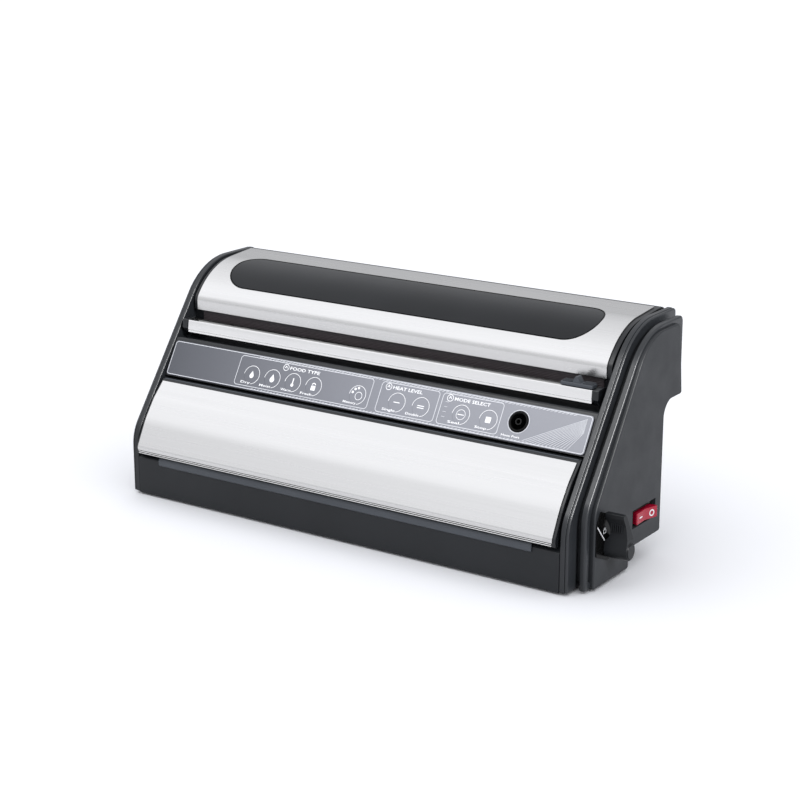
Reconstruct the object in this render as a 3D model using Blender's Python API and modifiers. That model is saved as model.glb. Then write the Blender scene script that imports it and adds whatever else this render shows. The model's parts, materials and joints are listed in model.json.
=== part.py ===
"""Upright vacuum sealer: a chamber lid in front, a key panel on the slope, a film cutter bar above it
and a roll compartment with a windowed lid on top.

Lengths below are millimetres in the design frame: X to the right as seen from the front, Y to the rear,
Z up, with Y = 0 just behind the front wall and Z = 0 on the table.
"""

import math

import bmesh
import bpy
from mathutils import Matrix, Vector

MM = 0.001

# Overall plan: the origin of the finished part is the middle of its bounding box, on the table.
CENTRE_X = 13.3
CENTRE_Y = 70.556

# Widths, each a distance from the middle plane.
BAY_X = 183.6
RIM_IN_X = 184.0
RIM_OUT_X = 190.0
TRIM_IN_X = 190.4
TRIM_STEP_X = 194.0
TRIM_OUT_X = 198.0
TRIM_WIDTH = 6.0
TRIM_GROOVE = 3.2
PANEL_IN_X = 198.3
PANEL_OUT_X = 200.7
LEFT_PANEL_X = (-192.7, -190.3)
LEFT_PANEL_INSET = 5.0
LID_X = 180.5
ROLL_LID_X = 178.8
RAIL_X = 176.0

# Side profile of the housing.
BASE_Z = 1.5
STEP_Y = 66.0
STEP_Z = 15.4
HEEL_Y = 112.0
SHELF_Z = 109.0
SHELF_JOIN_Z = 96.6
BACK_Y = 146.8
FRONT_Y = -1.0
TOP_Z = 168.0
SLOPE = math.radians(54.0)
SLOPE_Y, SLOPE_Z = 11.8, 66.1
WALL = 2.2
GAP = 0.35

# Chamber deck, which climbs to the rear from the bag slot.
DECK_TILT = math.radians(25.0)
DECK_Y, DECK_Z = 1.0, 31.0

BAR_X = 160.0
BAR_T0, BAR_T1 = 4.5, 11.5
WELL = (-150.4, 20.1, 150.4, 36.9)
CATCH_X = 169.0
HOSE_X, HOSE_T = 157.5, 28.5
HOSE_R = 2.6

# Control panel plane, with distances measured up it from its foot.
PANEL_TILT = math.radians(59.04)
PANEL_Y, PANEL_Z = 31.0, 88.0
OVERLAY_X = 182.3
OVERLAY_LENGTH = 28.0
OVERLAY_DEPTH = 0.8
BEZEL_DEPTH = 1.15
KEY_T = 12.0
KEY_R = 6.4
KEY_HOLE_R = 6.75
KEY_DEPTH = 2.2
KEY_XS = (-102.6, -83.4, -64.4, -45.4, -6.0, 28.1, 48.4, 81.9, 104.2)
KEY_NAMES = ("dry", "moist", "warm", "fresh", "memory", "single_heat", "double_heat", "seal_only", "stop")
PORT_X, PORT_T = 127.7, 14.8
PORT_R = 7.4

# Joint axes in the side profile.
LID_PIVOT = (30.5, 80.5)
RAIL_PIVOT = (66.5, 121.0)
ROLL_PIVOT = (138.5, 161.5)
LEVER_PIVOT = (33.0, 27.5)
ROCKER_CENTRE = (88.0, 34.0)
ROCKER_X = 198.0
ROCKER_TILT = math.radians(7.0)
SWITCH_LOW = (69.5, 28.4)
SWITCH_HIGH = (103.4, 41.8)
PIN_R = 2.0
PIN_HOLE_R = 2.5
SHAFT_R = 3.2
SHAFT_HOLE_R = 3.6
LEVER_X0, LEVER_X1 = 202.0, 218.4

FRONT_FOOT_X, FRONT_FOOT_Y = 150.0, 16.0
REAR_FOOT_X, REAR_FOOT_Y = 118.0, 95.0

# Film cutter slider, parked near the right end of its rail.
SLIDER_X0, SLIDER_X1 = 151.0, 176.0

# Colour, roughness and metallic value of each finish.
FINISHES = {
    "black_plastic": ((0.030, 0.032, 0.036), 0.42, 0.0),
    "dark_plastic": ((0.045, 0.048, 0.054), 0.50, 0.0),
    "gloss_black": ((0.012, 0.012, 0.014), 0.18, 0.0),
    "brushed_steel": ((0.72, 0.72, 0.73), 0.26, 1.0),
    "polished_steel": ((0.80, 0.80, 0.82), 0.14, 1.0),
    "panel_film": ((0.19, 0.20, 0.22), 0.35, 0.0),
    "smoked_window": ((0.05, 0.05, 0.055), 0.12, 0.0),
    "red_plastic": ((0.55, 0.01, 0.02), 0.25, 0.0),
    "grey_rubber": ((0.22, 0.22, 0.23), 0.75, 0.0),
    "seal_tape": ((0.55, 0.42, 0.30), 0.55, 0.0),
    "ivory_plastic": ((0.70, 0.69, 0.64), 0.45, 0.0),
    "iron": ((0.30, 0.29, 0.28), 0.55, 1.0),
    "circuit_green": ((0.03, 0.20, 0.09), 0.45, 0.0),
    "clear_hose": ((0.62, 0.64, 0.62), 0.35, 0.0),
}

PARTS = bpy.data.collections.new("vacuum_sealer")
CUTTERS = bpy.data.collections.new("vacuum_sealer_cutters")


# ---------------------------------------------------------------- scene and outlines


def clear_scene():
    for obj in list(bpy.data.objects):
        bpy.data.objects.remove(obj, do_unlink=True)
    bpy.context.scene.collection.children.link(PARTS)
    bpy.context.scene.collection.children.link(CUTTERS)


def arc(centre, radius, start, end, steps):
    """Points along an arc, angles in degrees."""
    turns = [math.radians(start + (end - start) * i / steps) for i in range(steps + 1)]
    return [(centre[0] + radius * math.cos(a), centre[1] + radius * math.sin(a)) for a in turns]


def circle(centre, radius, steps=32):
    return arc(centre, radius, 0.0, 360.0 - 360.0 / steps, steps - 1)


def fillet(before, corner, after, radius, step_degrees):
    """The arc that rounds one corner, or the bare corner if radius is 0."""
    back = (Vector(before) - Vector(corner)).normalized()
    ahead = (Vector(after) - Vector(corner)).normalized()
    half = back.angle(ahead) / 2
    if radius <= 0 or math.pi / 2 - half < 0.01:
        return [corner]
    middle = Vector(corner) + (back + ahead).normalized() * (radius / math.sin(half))
    first = Vector(corner) + back * (radius / math.tan(half)) - middle
    turn = first.angle_signed(Vector(corner) + ahead * (radius / math.tan(half)) - middle)
    coarse = 1.0 if radius > 5.0 else 2.5
    steps = max(1, round(abs(math.degrees(turn)) / (coarse * step_degrees)))
    points = []
    for i in range(steps + 1):
        spoke = Matrix.Rotation(-turn * i / steps, 2) @ first
        points.append(tuple(middle + spoke))
    return points


def rounded(corners, closed=True, step_degrees=11.0):
    """An outline from its corners, each (u, v) or (u, v, radius)."""
    points = []
    for i, corner in enumerate(corners):
        here = tuple(corner[:2])
        radius = corner[2] if len(corner) > 2 else 0.0
        at_end = not closed and i in (0, len(corners) - 1)
        if at_end or radius <= 0:
            points.append(here)
            continue
        before = tuple(corners[i - 1][:2])
        after = tuple(corners[(i + 1) % len(corners)][:2])
        points.extend(fillet(before, here, after, radius, step_degrees))
    return points


def box_outline(u0, v0, u1, v1, radius=0.0, step_degrees=22.5):
    corners = [(u0, v0, radius), (u1, v0, radius), (u1, v1, radius), (u0, v1, radius)]
    return rounded(corners, step_degrees=step_degrees)


def offset(points, distance, closed=False):
    """The path moved to its left by distance, with mitred corners."""
    moved = []
    count = len(points)
    for i, point in enumerate(points):
        here = Vector(point)
        before = Vector(points[i - 1]) if closed or i > 0 else None
        after = Vector(points[(i + 1) % count]) if closed or i < count - 1 else None
        runs = []
        if before is not None:
            runs.append((here - before).normalized())
        if after is not None:
            runs.append((after - here).normalized())
        lefts = [Vector((-run.y, run.x)) for run in runs]
        total = sum(lefts[1:], lefts[0])
        scale = len(lefts) / (total.length_squared or 1.0)
        moved.append(tuple(here + total * scale * distance))
    return moved


def strip(points, thickness):
    """A wall of even thickness, on the left of an open path."""
    return list(points) + offset(points, thickness)[::-1]


# ---------------------------------------------------------------- frames

# Local (u, v, w) of a side profile is (Y, Z, X).
SIDE = Matrix(((0, 0, 1, 0), (1, 0, 0, 0), (0, 1, 0, 0), (0, 0, 0, 1)))


def slope_frame(y, z, tilt):
    """Local u is X, v climbs the slope to the rear and w is the slope's outward normal."""
    place = Matrix.Translation(Vector((0, y, z)) * MM)
    return place @ Matrix.Rotation(tilt, 4, "X")


DECK = slope_frame(DECK_Y, DECK_Z, DECK_TILT)
PANEL = slope_frame(PANEL_Y, PANEL_Z, PANEL_TILT)
LEVEL = Matrix.Identity(4)
FRONTAL = Matrix.Rotation(math.radians(90.0), 4, "X")


# ---------------------------------------------------------------- meshes


def prism_mesh(outlines, low, high, frame=SIDE):
    """A flat outline, with holes if more outlines are given, from w = low to w = high."""
    curve = bpy.data.curves.new("outline", "CURVE")
    curve.dimensions = "2D"
    curve.fill_mode = "BOTH"
    curve.extrude = (high - low) / 2 * MM
    for outline in outlines:
        spline = curve.splines.new("POLY")
        spline.points.add(len(outline) - 1)
        for point, (u, v) in zip(spline.points, outline):
            point.co = (u * MM, v * MM, 0.0, 1.0)
        spline.use_cyclic_u = True
    guide = bpy.data.objects.new("outline", curve)
    CUTTERS.objects.link(guide)
    mesh = mesh_from(guide)
    middle = Matrix.Translation((0, 0, (low + high) / 2 * MM))
    mesh.transform(frame @ middle)
    return mesh


def mesh_from(guide):
    """A welded mesh of a guide object, which is then removed."""
    bpy.context.view_layer.update()
    graph = bpy.context.evaluated_depsgraph_get()
    mesh = bpy.data.meshes.new_from_object(guide.evaluated_get(graph))
    mesh.transform(guide.matrix_world)
    bpy.data.objects.remove(guide, do_unlink=True)
    shape = bmesh.new()
    shape.from_mesh(mesh)
    bmesh.ops.remove_doubles(shape, verts=shape.verts, dist=1e-6)
    bmesh.ops.recalc_face_normals(shape, faces=shape.faces)
    shape.to_mesh(mesh)
    shape.free()
    return mesh


def box_mesh(low, high, frame=LEVEL):
    """A box between two corners."""
    size = Vector(high) - Vector(low)
    middle = (Vector(high) + Vector(low)) / 2
    shape = bmesh.new()
    bmesh.ops.create_cube(shape, size=1.0)
    bmesh.ops.scale(shape, vec=size * MM, verts=shape.verts)
    bmesh.ops.translate(shape, vec=middle * MM, verts=shape.verts)
    mesh = bpy.data.meshes.new("box")
    shape.to_mesh(mesh)
    shape.free()
    mesh.transform(frame)
    return mesh


def rod_mesh(radius_low, radius_high, low, high, segments, frame):
    """A cylinder or cone along local w."""
    shape = bmesh.new()
    bmesh.ops.create_cone(
        shape, cap_ends=True, segments=segments, depth=(high - low) * MM,
        radius1=radius_low * MM, radius2=radius_high * MM,
    )
    bmesh.ops.translate(shape, vec=(0, 0, (low + high) / 2 * MM), verts=shape.verts)
    mesh = bpy.data.meshes.new("rod")
    shape.to_mesh(mesh)
    shape.free()
    mesh.transform(frame)
    return mesh


def across(y, z):
    """A frame at (y, z) whose w axis is X."""
    return Matrix.Translation(Vector((0, y, z)) * MM) @ SIDE


def on(frame, u, v):
    """A frame moved along its own plane to (u, v)."""
    return frame @ Matrix.Translation(Vector((u, v, 0)) * MM)


# ---------------------------------------------------------------- objects


def finish_for(name, finish):
    colour, roughness, metallic = FINISHES[finish]
    material = bpy.data.materials.new(f"{name}_{finish}")
    material.use_nodes = True
    surface = material.node_tree.nodes["Principled BSDF"]
    surface.inputs["Base Color"].default_value = (*colour, 1.0)
    surface.inputs["Roughness"].default_value = roughness
    surface.inputs["Metallic"].default_value = metallic
    return material


def empty_at(name, x, y, z, holder=None):
    """An empty on a joint's axis."""
    pivot = bpy.data.objects.new(name, None)
    PARTS.objects.link(pivot)
    pivot.location = Vector((x, y, z)) * MM
    pivot["design_place"] = pivot.location
    if holder:
        hold(pivot, holder)
    return pivot


def hold(obj, holder):
    """Parents an object, leaving it where the design frame has it."""
    obj.parent = holder
    if holder.parent:
        obj.matrix_parent_inverse = Matrix.Translation(-Vector(holder["design_place"]))


def piece(name, mesh, finish, holder, joins=(), cuts=(), keeps=(), bevel=0.0):
    """One sub-part: other shapes are joined to it or cut from it, or it is kept only inside them."""
    obj = bpy.data.objects.new(name, mesh)
    mesh.name = name
    mesh.materials.clear()
    mesh.materials.append(finish_for(name, finish))
    PARTS.objects.link(obj)
    hold(obj, holder)
    for operation, meshes in (("UNION", joins), ("DIFFERENCE", cuts), ("INTERSECT", keeps)):
        for i, other in enumerate(meshes):
            tool = bpy.data.objects.new(f"{name}_{operation.lower()}_{i}", other)
            tool.hide_render = True
            tool.display_type = "WIRE"
            CUTTERS.objects.link(tool)
            hold(tool, holder)
            change = obj.modifiers.new(tool.name, "BOOLEAN")
            change.operation = operation
            change.object = tool
            change.solver = "EXACT"
    if bevel:
        rounding = obj.modifiers.new("rounding", "BEVEL")
        rounding.width = bevel * MM
        rounding.segments = 2
        rounding.limit_method = "ANGLE"
        rounding.angle_limit = math.radians(40.0)
    mesh.shade_smooth()
    mesh.set_sharp_from_angle(angle=math.radians(35.0))
    return obj


# ---------------------------------------------------------------- side profiles


def slope_y(z, inset=0.0):
    """Y of the housing's sloping front at height z, moved inwards by inset."""
    return SLOPE_Y + (z - SLOPE_Z) / math.tan(SLOPE) + inset / math.sin(SLOPE)


def housing_outline(front_in, slope_in, top_in, back_in, under_in=0.0):
    """The housing's side outline, walked anticlockwise, with each face moved inwards."""
    front = FRONT_Y + front_in
    top = TOP_Z - top_in
    back = BACK_Y - back_in
    shoulder = SLOPE_Z + (front - SLOPE_Y - slope_in / math.sin(SLOPE)) * math.tan(SLOPE)
    return rounded(
        [
            (front, BASE_Z + under_in, 1.5),
            (STEP_Y - under_in, BASE_Z + under_in, 1.0),
            (STEP_Y - under_in, STEP_Z + under_in, 2.0),
            (HEEL_Y - under_in, STEP_Z + under_in, 2.0),
            (HEEL_Y - under_in, SHELF_Z + under_in, 12.0 + under_in),
            (back, SHELF_Z + under_in, 2.5),
            (back - 0.6, top, 3.5),
            (slope_y(top, slope_in), top, 56.0 - slope_in),
            (front, shoulder, 32.0 - slope_in),
        ]
    )


def trim_outline(inset):
    """The side trim's outline, moved inwards by inset all round."""
    return housing_outline(10.0 + inset, 3.6 + inset, 3.7 + inset, 4.5 + inset, inset)


RIM_OUTLINE = housing_outline(0.0, 0.0, 0.0, 0.0)
PANEL_OUTLINE = rounded(
    [
        (16.0, BASE_Z, 1.5),
        (STEP_Y, BASE_Z, 1.0),
        (STEP_Y, STEP_Z, 2.0),
        (HEEL_Y, STEP_Z, 2.0),
        (HEEL_Y, SHELF_Z, 12.0),
        (138.6, SHELF_Z, 2.0),
        (132.8, 161.0, 5.0),
        (86.6, 161.0, 42.0),
        (16.0, 55.4, 22.0),
    ]
)


# ---------------------------------------------------------------- housing


def side_cuts(side):
    """Holes through the rim for the joint pins, and on the right for the lever's shaft."""
    holes = []
    for y, z in (LID_PIVOT, RAIL_PIVOT, ROLL_PIVOT):
        holes.append(rod_mesh(PIN_HOLE_R, PIN_HOLE_R, side * 180 - 20, side * 180 + 20, 20, across(y, z)))
    if side > 0:
        holes.append(shaft_hole())
    return holes


def shaft_hole():
    """The hole for the lever's shaft through everything on the right side."""
    return rod_mesh(SHAFT_HOLE_R, SHAFT_HOLE_R, 170, 210, 24, across(*LEVER_PIVOT))


def switch_cut():
    """The right side's opening for the switch, with its recess."""
    return box_mesh((186.6, *SWITCH_LOW), (210, *SWITCH_HIGH))


def end_rims(root):
    for side, word in ((-1, "left"), (1, "right")):
        cuts = side_cuts(side)
        if side > 0:
            cuts.append(switch_cut())
        ends = sorted((side * RIM_IN_X, side * RIM_OUT_X))
        piece(f"{word}_end_rim", prism_mesh([RIM_OUTLINE], *ends), "black_plastic", root, cuts=cuts)


def side_covers(root):
    """A plain cover on the left; on the right a grooved trim ring and the panel with the controls."""
    inset = LEFT_PANEL_INSET
    left = housing_outline(inset, inset, inset, inset, inset)
    piece("left_side_panel", prism_mesh([left], *LEFT_PANEL_X), "black_plastic", root)
    outer_ring = prism_mesh([trim_outline(0.0), trim_outline(TRIM_WIDTH)], TRIM_STEP_X, TRIM_OUT_X)
    groove = [trim_outline(TRIM_GROOVE), trim_outline(TRIM_WIDTH - 0.4)]
    groove_ring = prism_mesh(groove, TRIM_IN_X, TRIM_STEP_X + 1.0)
    piece("right_side_trim", outer_ring, "black_plastic", root, joins=[groove_ring], cuts=[switch_cut()])
    panel = prism_mesh([PANEL_OUTLINE], PANEL_IN_X, PANEL_OUT_X)
    piece("right_side_panel", panel, "black_plastic", root, cuts=[shaft_hole(), switch_cut()])


def base_tray(root):
    """Front wall, chamber deck with a well for the drip tray, and the wall behind the chamber."""
    rise = math.tan(DECK_TILT)
    deck_end_y = 45.0
    path = rounded(
        [
            (FRONT_Y, BASE_Z),
            (FRONT_Y, 29.4, 1.6),
            (DECK_Y + 0.6, DECK_Z + 0.6 * rise, 0.0),
            (deck_end_y, DECK_Z + (deck_end_y - DECK_Y) * rise, 1.5),
            (40.3, 83.0),
        ],
        closed=False,
    )
    well = prism_mesh([box_outline(*WELL, 2.0)], -8, 8, DECK)
    slots = [
        prism_mesh([box_outline(side * CATCH_X - 5, 12.0, side * CATCH_X + 5, 39.0)], -8, 8, DECK)
        for side in (-1, 1)
    ]
    port = rod_mesh(HOSE_R + 0.7, HOSE_R + 0.7, -10, 10, 16, on(DECK, HOSE_X, HOSE_T))
    piece("base_tray", prism_mesh([strip(path, -WALL)], -BAY_X, BAY_X), "dark_plastic", root,
          cuts=[well, *slots, port])


def front_ledge(root):
    """The raised lip along the front wall, which steadies the bag's mouth."""
    outline = [(-1.3, 26.2), (-2.3, 26.9), (-2.3, 30.2), (-1.3, 31.0)]
    piece("front_ledge", prism_mesh([outline[::-1]], -163, 163), "dark_plastic", root)


def bottom_cover(root):
    path = [(1.7, BASE_Z), (STEP_Y, BASE_Z), (STEP_Y, STEP_Z), (109.3, STEP_Z)]
    piece("bottom_cover", prism_mesh([strip(path, 2.0)], -BAY_X, BAY_X), "dark_plastic", root)


def rear_cover(root):
    """The lower rear wall, with the mains inlet, and above it the shelf that overhangs to the rear."""
    inlet = box_mesh((-174.4, 100, 24.6), (-145.6, 120, 46.4))
    wall = strip([(HEEL_Y, STEP_Z), (HEEL_Y, SHELF_JOIN_Z)], WALL)
    piece("rear_cover", prism_mesh([wall], -BAY_X, BAY_X), "black_plastic", root, cuts=[inlet])
    path = rounded(
        [
            (HEEL_Y, SHELF_JOIN_Z + GAP),
            (HEEL_Y, SHELF_Z, 12.0),
            (BACK_Y, SHELF_Z, 2.5),
            (BACK_Y - 0.4, 156.6),
        ],
        closed=False,
    )
    piece("rear_shelf", prism_mesh([strip(path, WALL)], -BAY_X, BAY_X), "black_plastic", root)


def main_bezel(root):
    """Panel backing, the strip above it and the channel that the cutter rail lies in."""
    up = Vector((math.cos(PANEL_TILT), math.sin(PANEL_TILT)))
    out = Vector((-up.y, up.x))
    foot = Vector((PANEL_Y, PANEL_Z)) - out * BEZEL_DEPTH - up * 0.2
    head = foot + up * 32.5
    path = rounded(
        [
            (40.5, 84.9),
            (*foot, 0.0),
            (*head, 2.6),
            (54.0, 111.5, 2.0),
            (70.8, 115.2, 2.0),
            (70.8, 131.4),
        ],
        closed=False,
    )
    holes = [
        rod_mesh(KEY_HOLE_R, KEY_HOLE_R, -8, 4, 24, on(PANEL, x, KEY_T))
        for x in KEY_XS
    ]
    holes.append(rod_mesh(PORT_R - 1.0, PORT_R - 1.0, -8, 4, 24, on(PANEL, PORT_X, PORT_T)))
    piece("main_bezel", prism_mesh([strip(path, -WALL)], -BAY_X, BAY_X), "black_plastic", root, cuts=holes)


def roll_cradle(root):
    """Trough that holds the roll of film."""
    path = rounded([(73.6, 135.5), (74.6, 111.6, 8.0), (128.4, 111.6, 8.0), (133.6, 150.0)], closed=False)
    piece("roll_cradle", prism_mesh([strip(path, WALL)], -BAY_X, BAY_X), "dark_plastic", root)


def control_overlay(root):
    outlines = [box_outline(-OVERLAY_X, 0.3, OVERLAY_X, OVERLAY_LENGTH, 2.5)]
    outlines += [circle((x, KEY_T), KEY_HOLE_R, 32) for x in KEY_XS]
    outlines.append(circle((PORT_X, PORT_T), PORT_R + 0.3, 32))
    piece("control_overlay", prism_mesh(outlines, -OVERLAY_DEPTH, 0.0, PANEL), "panel_film", root)


def accessory_port(root):
    """Socket for a hose: a flanged cup with a spigot standing in it."""
    seat = on(PANEL, PORT_X, PORT_T)
    rim = rod_mesh(PORT_R, PORT_R, -0.8, 0.7, 32, seat)
    cup = rod_mesh(PORT_R - 1.4, PORT_R - 1.4, -11.0, 0.0, 32, seat)
    bore = prism_mesh([circle((0, 0), PORT_R - 2.4, 32), circle((0, 0), 2.6, 20)], -8.0, 2.0, seat)
    airway = rod_mesh(1.3, 1.3, -20, 5, 12, seat)
    piece("accessory_port", rim, "gloss_black", root, joins=[cup], cuts=[bore, airway])


def feet(root):
    for number, side in ((1, -1), (2, 1)):
        spot = Matrix.Translation(Vector((side * FRONT_FOOT_X, FRONT_FOOT_Y, 0)) * MM)
        piece(f"front_foot_{number}", rod_mesh(9.5, 9.0, 0.0, BASE_Z - 0.3, 24, spot), "grey_rubber", root)
        spot = Matrix.Translation(Vector((side * REAR_FOOT_X, REAR_FOOT_Y, 0)) * MM)
        piece(f"rear_foot_{number}", rod_mesh(9.0, 12.0, 0.0, STEP_Z - 0.4, 24, spot), "grey_rubber", root)


# ---------------------------------------------------------------- works inside


def gasket_outlines():
    """The rectangular ring that both chamber gaskets follow."""
    return [box_outline(-163.0, 14.3, 163.0, 43.0, 4.0), box_outline(-152.0, 19.0, 160.6, 38.4, 2.0)]


def chamber_parts(root):
    """Heater bar with its tape, chamber gasket and drip tray, all on the deck."""
    bar = box_outline(-BAR_X, BAR_T0, BAR_X, BAR_T1, 0.8)
    tape = box_outline(-BAR_X - 1, BAR_T0 - 0.5, BAR_X + 1, BAR_T1 + 0.5)
    piece("heater_bar", prism_mesh([bar], GAP, 2.2, DECK), "iron", root)
    piece("heater_tape", prism_mesh([tape], 2.5, 2.8, DECK), "seal_tape", root)
    piece("lower_gasket", prism_mesh(gasket_outlines(), GAP, 2.4, DECK), "grey_rubber", root)
    tray = prism_mesh([box_outline(-151.4, 19.5, 151.8, 37.6, 2.0)], GAP, 1.2, DECK)
    bowl = prism_mesh([box_outline(-149.6, 21.0, 149.6, 36.0, 2.0)], -6.0, 0.8, DECK)
    hollow = prism_mesh([box_outline(-148.4, 22.2, 148.4, 34.8, 1.5)], -4.8, 3.0, DECK)
    piece("drip_tray", tray, "dark_plastic", root, joins=[bowl], cuts=[hollow])


def pump_parts(root):
    """Vacuum pump, its motor, the valve and the hoses."""
    lying = across(88, 46)
    pump = rod_mesh(18, 18, 60, 96, 32, lying)
    head = box_mesh((64, 78, 62), (92, 98, 76))
    piece("vacuum_pump", pump, "ivory_plastic", root, joins=[head])
    piece("pump_motor", rod_mesh(15, 15, 8, 59.6, 28, lying), "iron", root)
    piece("solenoid_valve", box_mesh((112, 60, 62), (136, 84, 84)), "ivory_plastic", root)
    route = bpy.data.curves.new("hose", "CURVE")
    route.dimensions = "3D"
    route.bevel_depth = HOSE_R * MM
    route.bevel_resolution = 2
    route.use_fill_caps = True
    spline = route.splines.new("POLY")
    port = [(HOSE_X, *deck_point(HOSE_T, height)) for height in (-3.2, -5.5)]
    points = bend_points([*port, (HOSE_X, 40.0, 35.0), (HOSE_X, 54.0, 37.0), (156.0, 68.0, 52.0),
                          (150.0, 72.0, 68.0), (143.0, 72.0, 72.0), (136.6, 72.0, 72.0)], 3)
    spline.points.add(len(points) - 1)
    for point, place in zip(spline.points, points):
        point.co = (*(place * MM), 1.0)
    guide = bpy.data.objects.new("hose", route)
    CUTTERS.objects.link(guide)
    piece("chamber_hose", mesh_from(guide), "clear_hose", root)


def bend_points(stations, steps=5):
    """A smooth path through the stations, by Catmull-Rom segments."""
    places = [Vector(s) for s in stations]
    ends = [places[0] * 2 - places[1], *places, places[-1] * 2 - places[-2]]
    points = []
    for a, b, c, d in zip(ends, ends[1:], ends[2:], ends[3:]):
        for i in range(steps):
            t = i / steps
            bend = (2 * a - 5 * b + 4 * c - d) * t * t
            turn = (3 * b - a - 3 * c + d) * t ** 3
            points.append(0.5 * (2 * b + (c - a) * t + bend + turn))
    points.append(places[-1])
    return points


def electric_parts(root):
    piece("transformer", box_mesh((-120, 58, 18.4), (-62, 106, 66)), "iron", root, bevel=2.0)
    board = prism_mesh([box_outline(-150, 8, 120, 27)], -7.6, -6.0, PANEL)
    piece("control_board", board, "circuit_green", root)
    piece("lid_switch", box_mesh((-182, 10, 16), (-175, 24, 30)), "ivory_plastic", root)
    inlet = box_mesh((-174, 96, 25), (-146, 113.4, 46))
    mouth = prism_mesh(
        [rounded([(-171, 28), (-149, 28), (-149, 39, 0), (-154, 43, 0), (-166, 43, 0), (-171, 39, 0)])],
        -120, -100, FRONTAL,
    )
    piece("power_inlet", inlet, "gloss_black", root, cuts=[mouth])


def switch_housing(root):
    """Recessed flange of the power switch, with the pocket that its rocker turns in."""
    y, z = ROCKER_CENTRE
    low = [place + GAP for place in SWITCH_LOW]
    high = [place - GAP for place in SWITCH_HIGH]
    shell = box_mesh((187.0, *low), (198.6, *high))
    pocket = box_mesh((190.0, y - 13.5, z - 4.8), (210.0, y + 13.5, z + 4.8))
    piece("switch_housing", shell, "gloss_black", root, cuts=[pocket])


def lever_plate(root):
    """Glossy printed plate behind the lever, over the sector that the lever sweeps."""
    outline = rounded([(17.2, 24.8, 1.0), (33.2, 17.9, 3.0), (42.0, 20.0, 6.0), (43.0, 46.0, 4.0),
                       (22.5, 55.3, 1.0), (17.4, 47.5, 6.0)])
    sheet = prism_mesh([outline], PANEL_OUT_X + 0.3, PANEL_OUT_X + 0.9)
    piece("lever_plate", sheet, "gloss_black", root, cuts=[shaft_hole()])


# ---------------------------------------------------------------- moving parts

LID_TOP = rounded([(25.6, 84.4), (14.6, 73.4, 30.0), (4.2, 59.0, 60.0), (-5.8, 39.6, 4.0), (-5.5, 37.2)],
                  closed=False, step_degrees=4.0)
LID_CLEAR = 5.2


def deck_point(distance, height):
    """(y, z) at a distance up the deck and a height above it."""
    y = DECK_Y + distance * math.cos(DECK_TILT) - height * math.sin(DECK_TILT)
    z = DECK_Z + distance * math.sin(DECK_TILT) + height * math.cos(DECK_TILT)
    return (y, z)


def hinge_pin(side, pivot):
    """A pin on a joint axis that reaches into the end rim's hole."""
    return rod_mesh(PIN_R, PIN_R, side * RIM_IN_X - 5.0, side * RIM_IN_X + 5.0, 16, across(*pivot))


def lid_frame_outline():
    """The lid's moulded body: under the skin, round the hinge, and down to the gasket plane."""
    under_skin = offset(LID_TOP, 1.4)
    barrel = arc(LID_PIVOT, 5.4, 118.0, -20.0, 9)
    rear = [(38.4, 73.0), deck_point(42.5, LID_CLEAR)]
    front = [deck_point(1.0, LID_CLEAR), (0.2, 33.4), (-3.4, 33.4), (-4.4, 34.4), (-4.6, 36.7)]
    body = under_skin[::-1]
    return body[1:] + barrel + rear + front


def chamber_lid(root):
    pivot = empty_at("chamber_lid_axis", 0, *LID_PIVOT, root)
    skin = prism_mesh([strip(LID_TOP, 1.0)], -LID_X, LID_X)
    piece("chamber_lid_skin", skin, "brushed_steel", pivot)
    body = prism_mesh([lid_frame_outline()], -LID_X - 1.0, LID_X + 1.0)
    hollow = prism_mesh([box_outline(-150, 20.5, 150, 37.0, 3.0)], 0.0, 14.0, DECK)
    pins = [hinge_pin(side, LID_PIVOT) for side in (-1, 1)]
    piece("chamber_lid_frame", body, "black_plastic", pivot, joins=pins, cuts=[hollow])
    ring = prism_mesh(gasket_outlines(), 2.8, LID_CLEAR - GAP, DECK)
    piece("upper_gasket", ring, "grey_rubber", pivot)
    press = box_outline(-BAR_X, BAR_T0 + 0.5, BAR_X, BAR_T1 - 0.5)
    piece("seal_pressure_strip", prism_mesh([press], 3.2, LID_CLEAR - GAP, DECK), "grey_rubber", pivot)
    for side, word in ((-1, "left"), (1, "right")):
        top = LID_CLEAR - GAP
        hook = [deck_point(24, top), deck_point(24, -7.0), deck_point(29, -7.0), deck_point(29, -4.5),
                deck_point(27, -4.5), deck_point(27, top)]
        middle = side * CATCH_X
        piece(f"lid_catch_{word}", prism_mesh([hook], middle - 3.0, middle + 3.0), "iron", pivot)


ROLL_TOP = rounded([(134.0, 169.3), (83.7, 165.0, 56.0), (66.7, 141.6, 9.5), (66.7, 132.6)],
                   closed=False, step_degrees=5.0)


def roll_frame():
    """Local u is X and v runs along the roll lid's chord from its front lip to its rear edge."""
    chord = Vector((134.0 - 66.7, 169.3 - 132.6))
    return slope_frame(66.7, 132.6, math.atan2(chord.y, chord.x))


# Window in the lid's frame: its sides, its front and rear edges, and the radius of its corners at each.
WINDOW_U0, WINDOW_U1 = -162.7, 158.9
WINDOW_V0, WINDOW_V1 = 16.8, 58.0
WINDOW_FRONT_R, WINDOW_REAR_R = 22.0, 17.0


def window_shape(inset):
    """The window's long shape, moved inwards by inset, as a solid square to the lid's chord."""
    front, rear = WINDOW_FRONT_R - inset, WINDOW_REAR_R - inset
    low, high = WINDOW_V0 + inset, WINDOW_V1 - inset
    left, right = WINDOW_U0 + inset, WINDOW_U1 - inset
    outline = rounded([(left, low, front), (right, low, front), (right, high, rear), (left, high, rear)],
                      step_degrees=15.0)
    return prism_mesh([outline], -20, 60, roll_frame())


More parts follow.
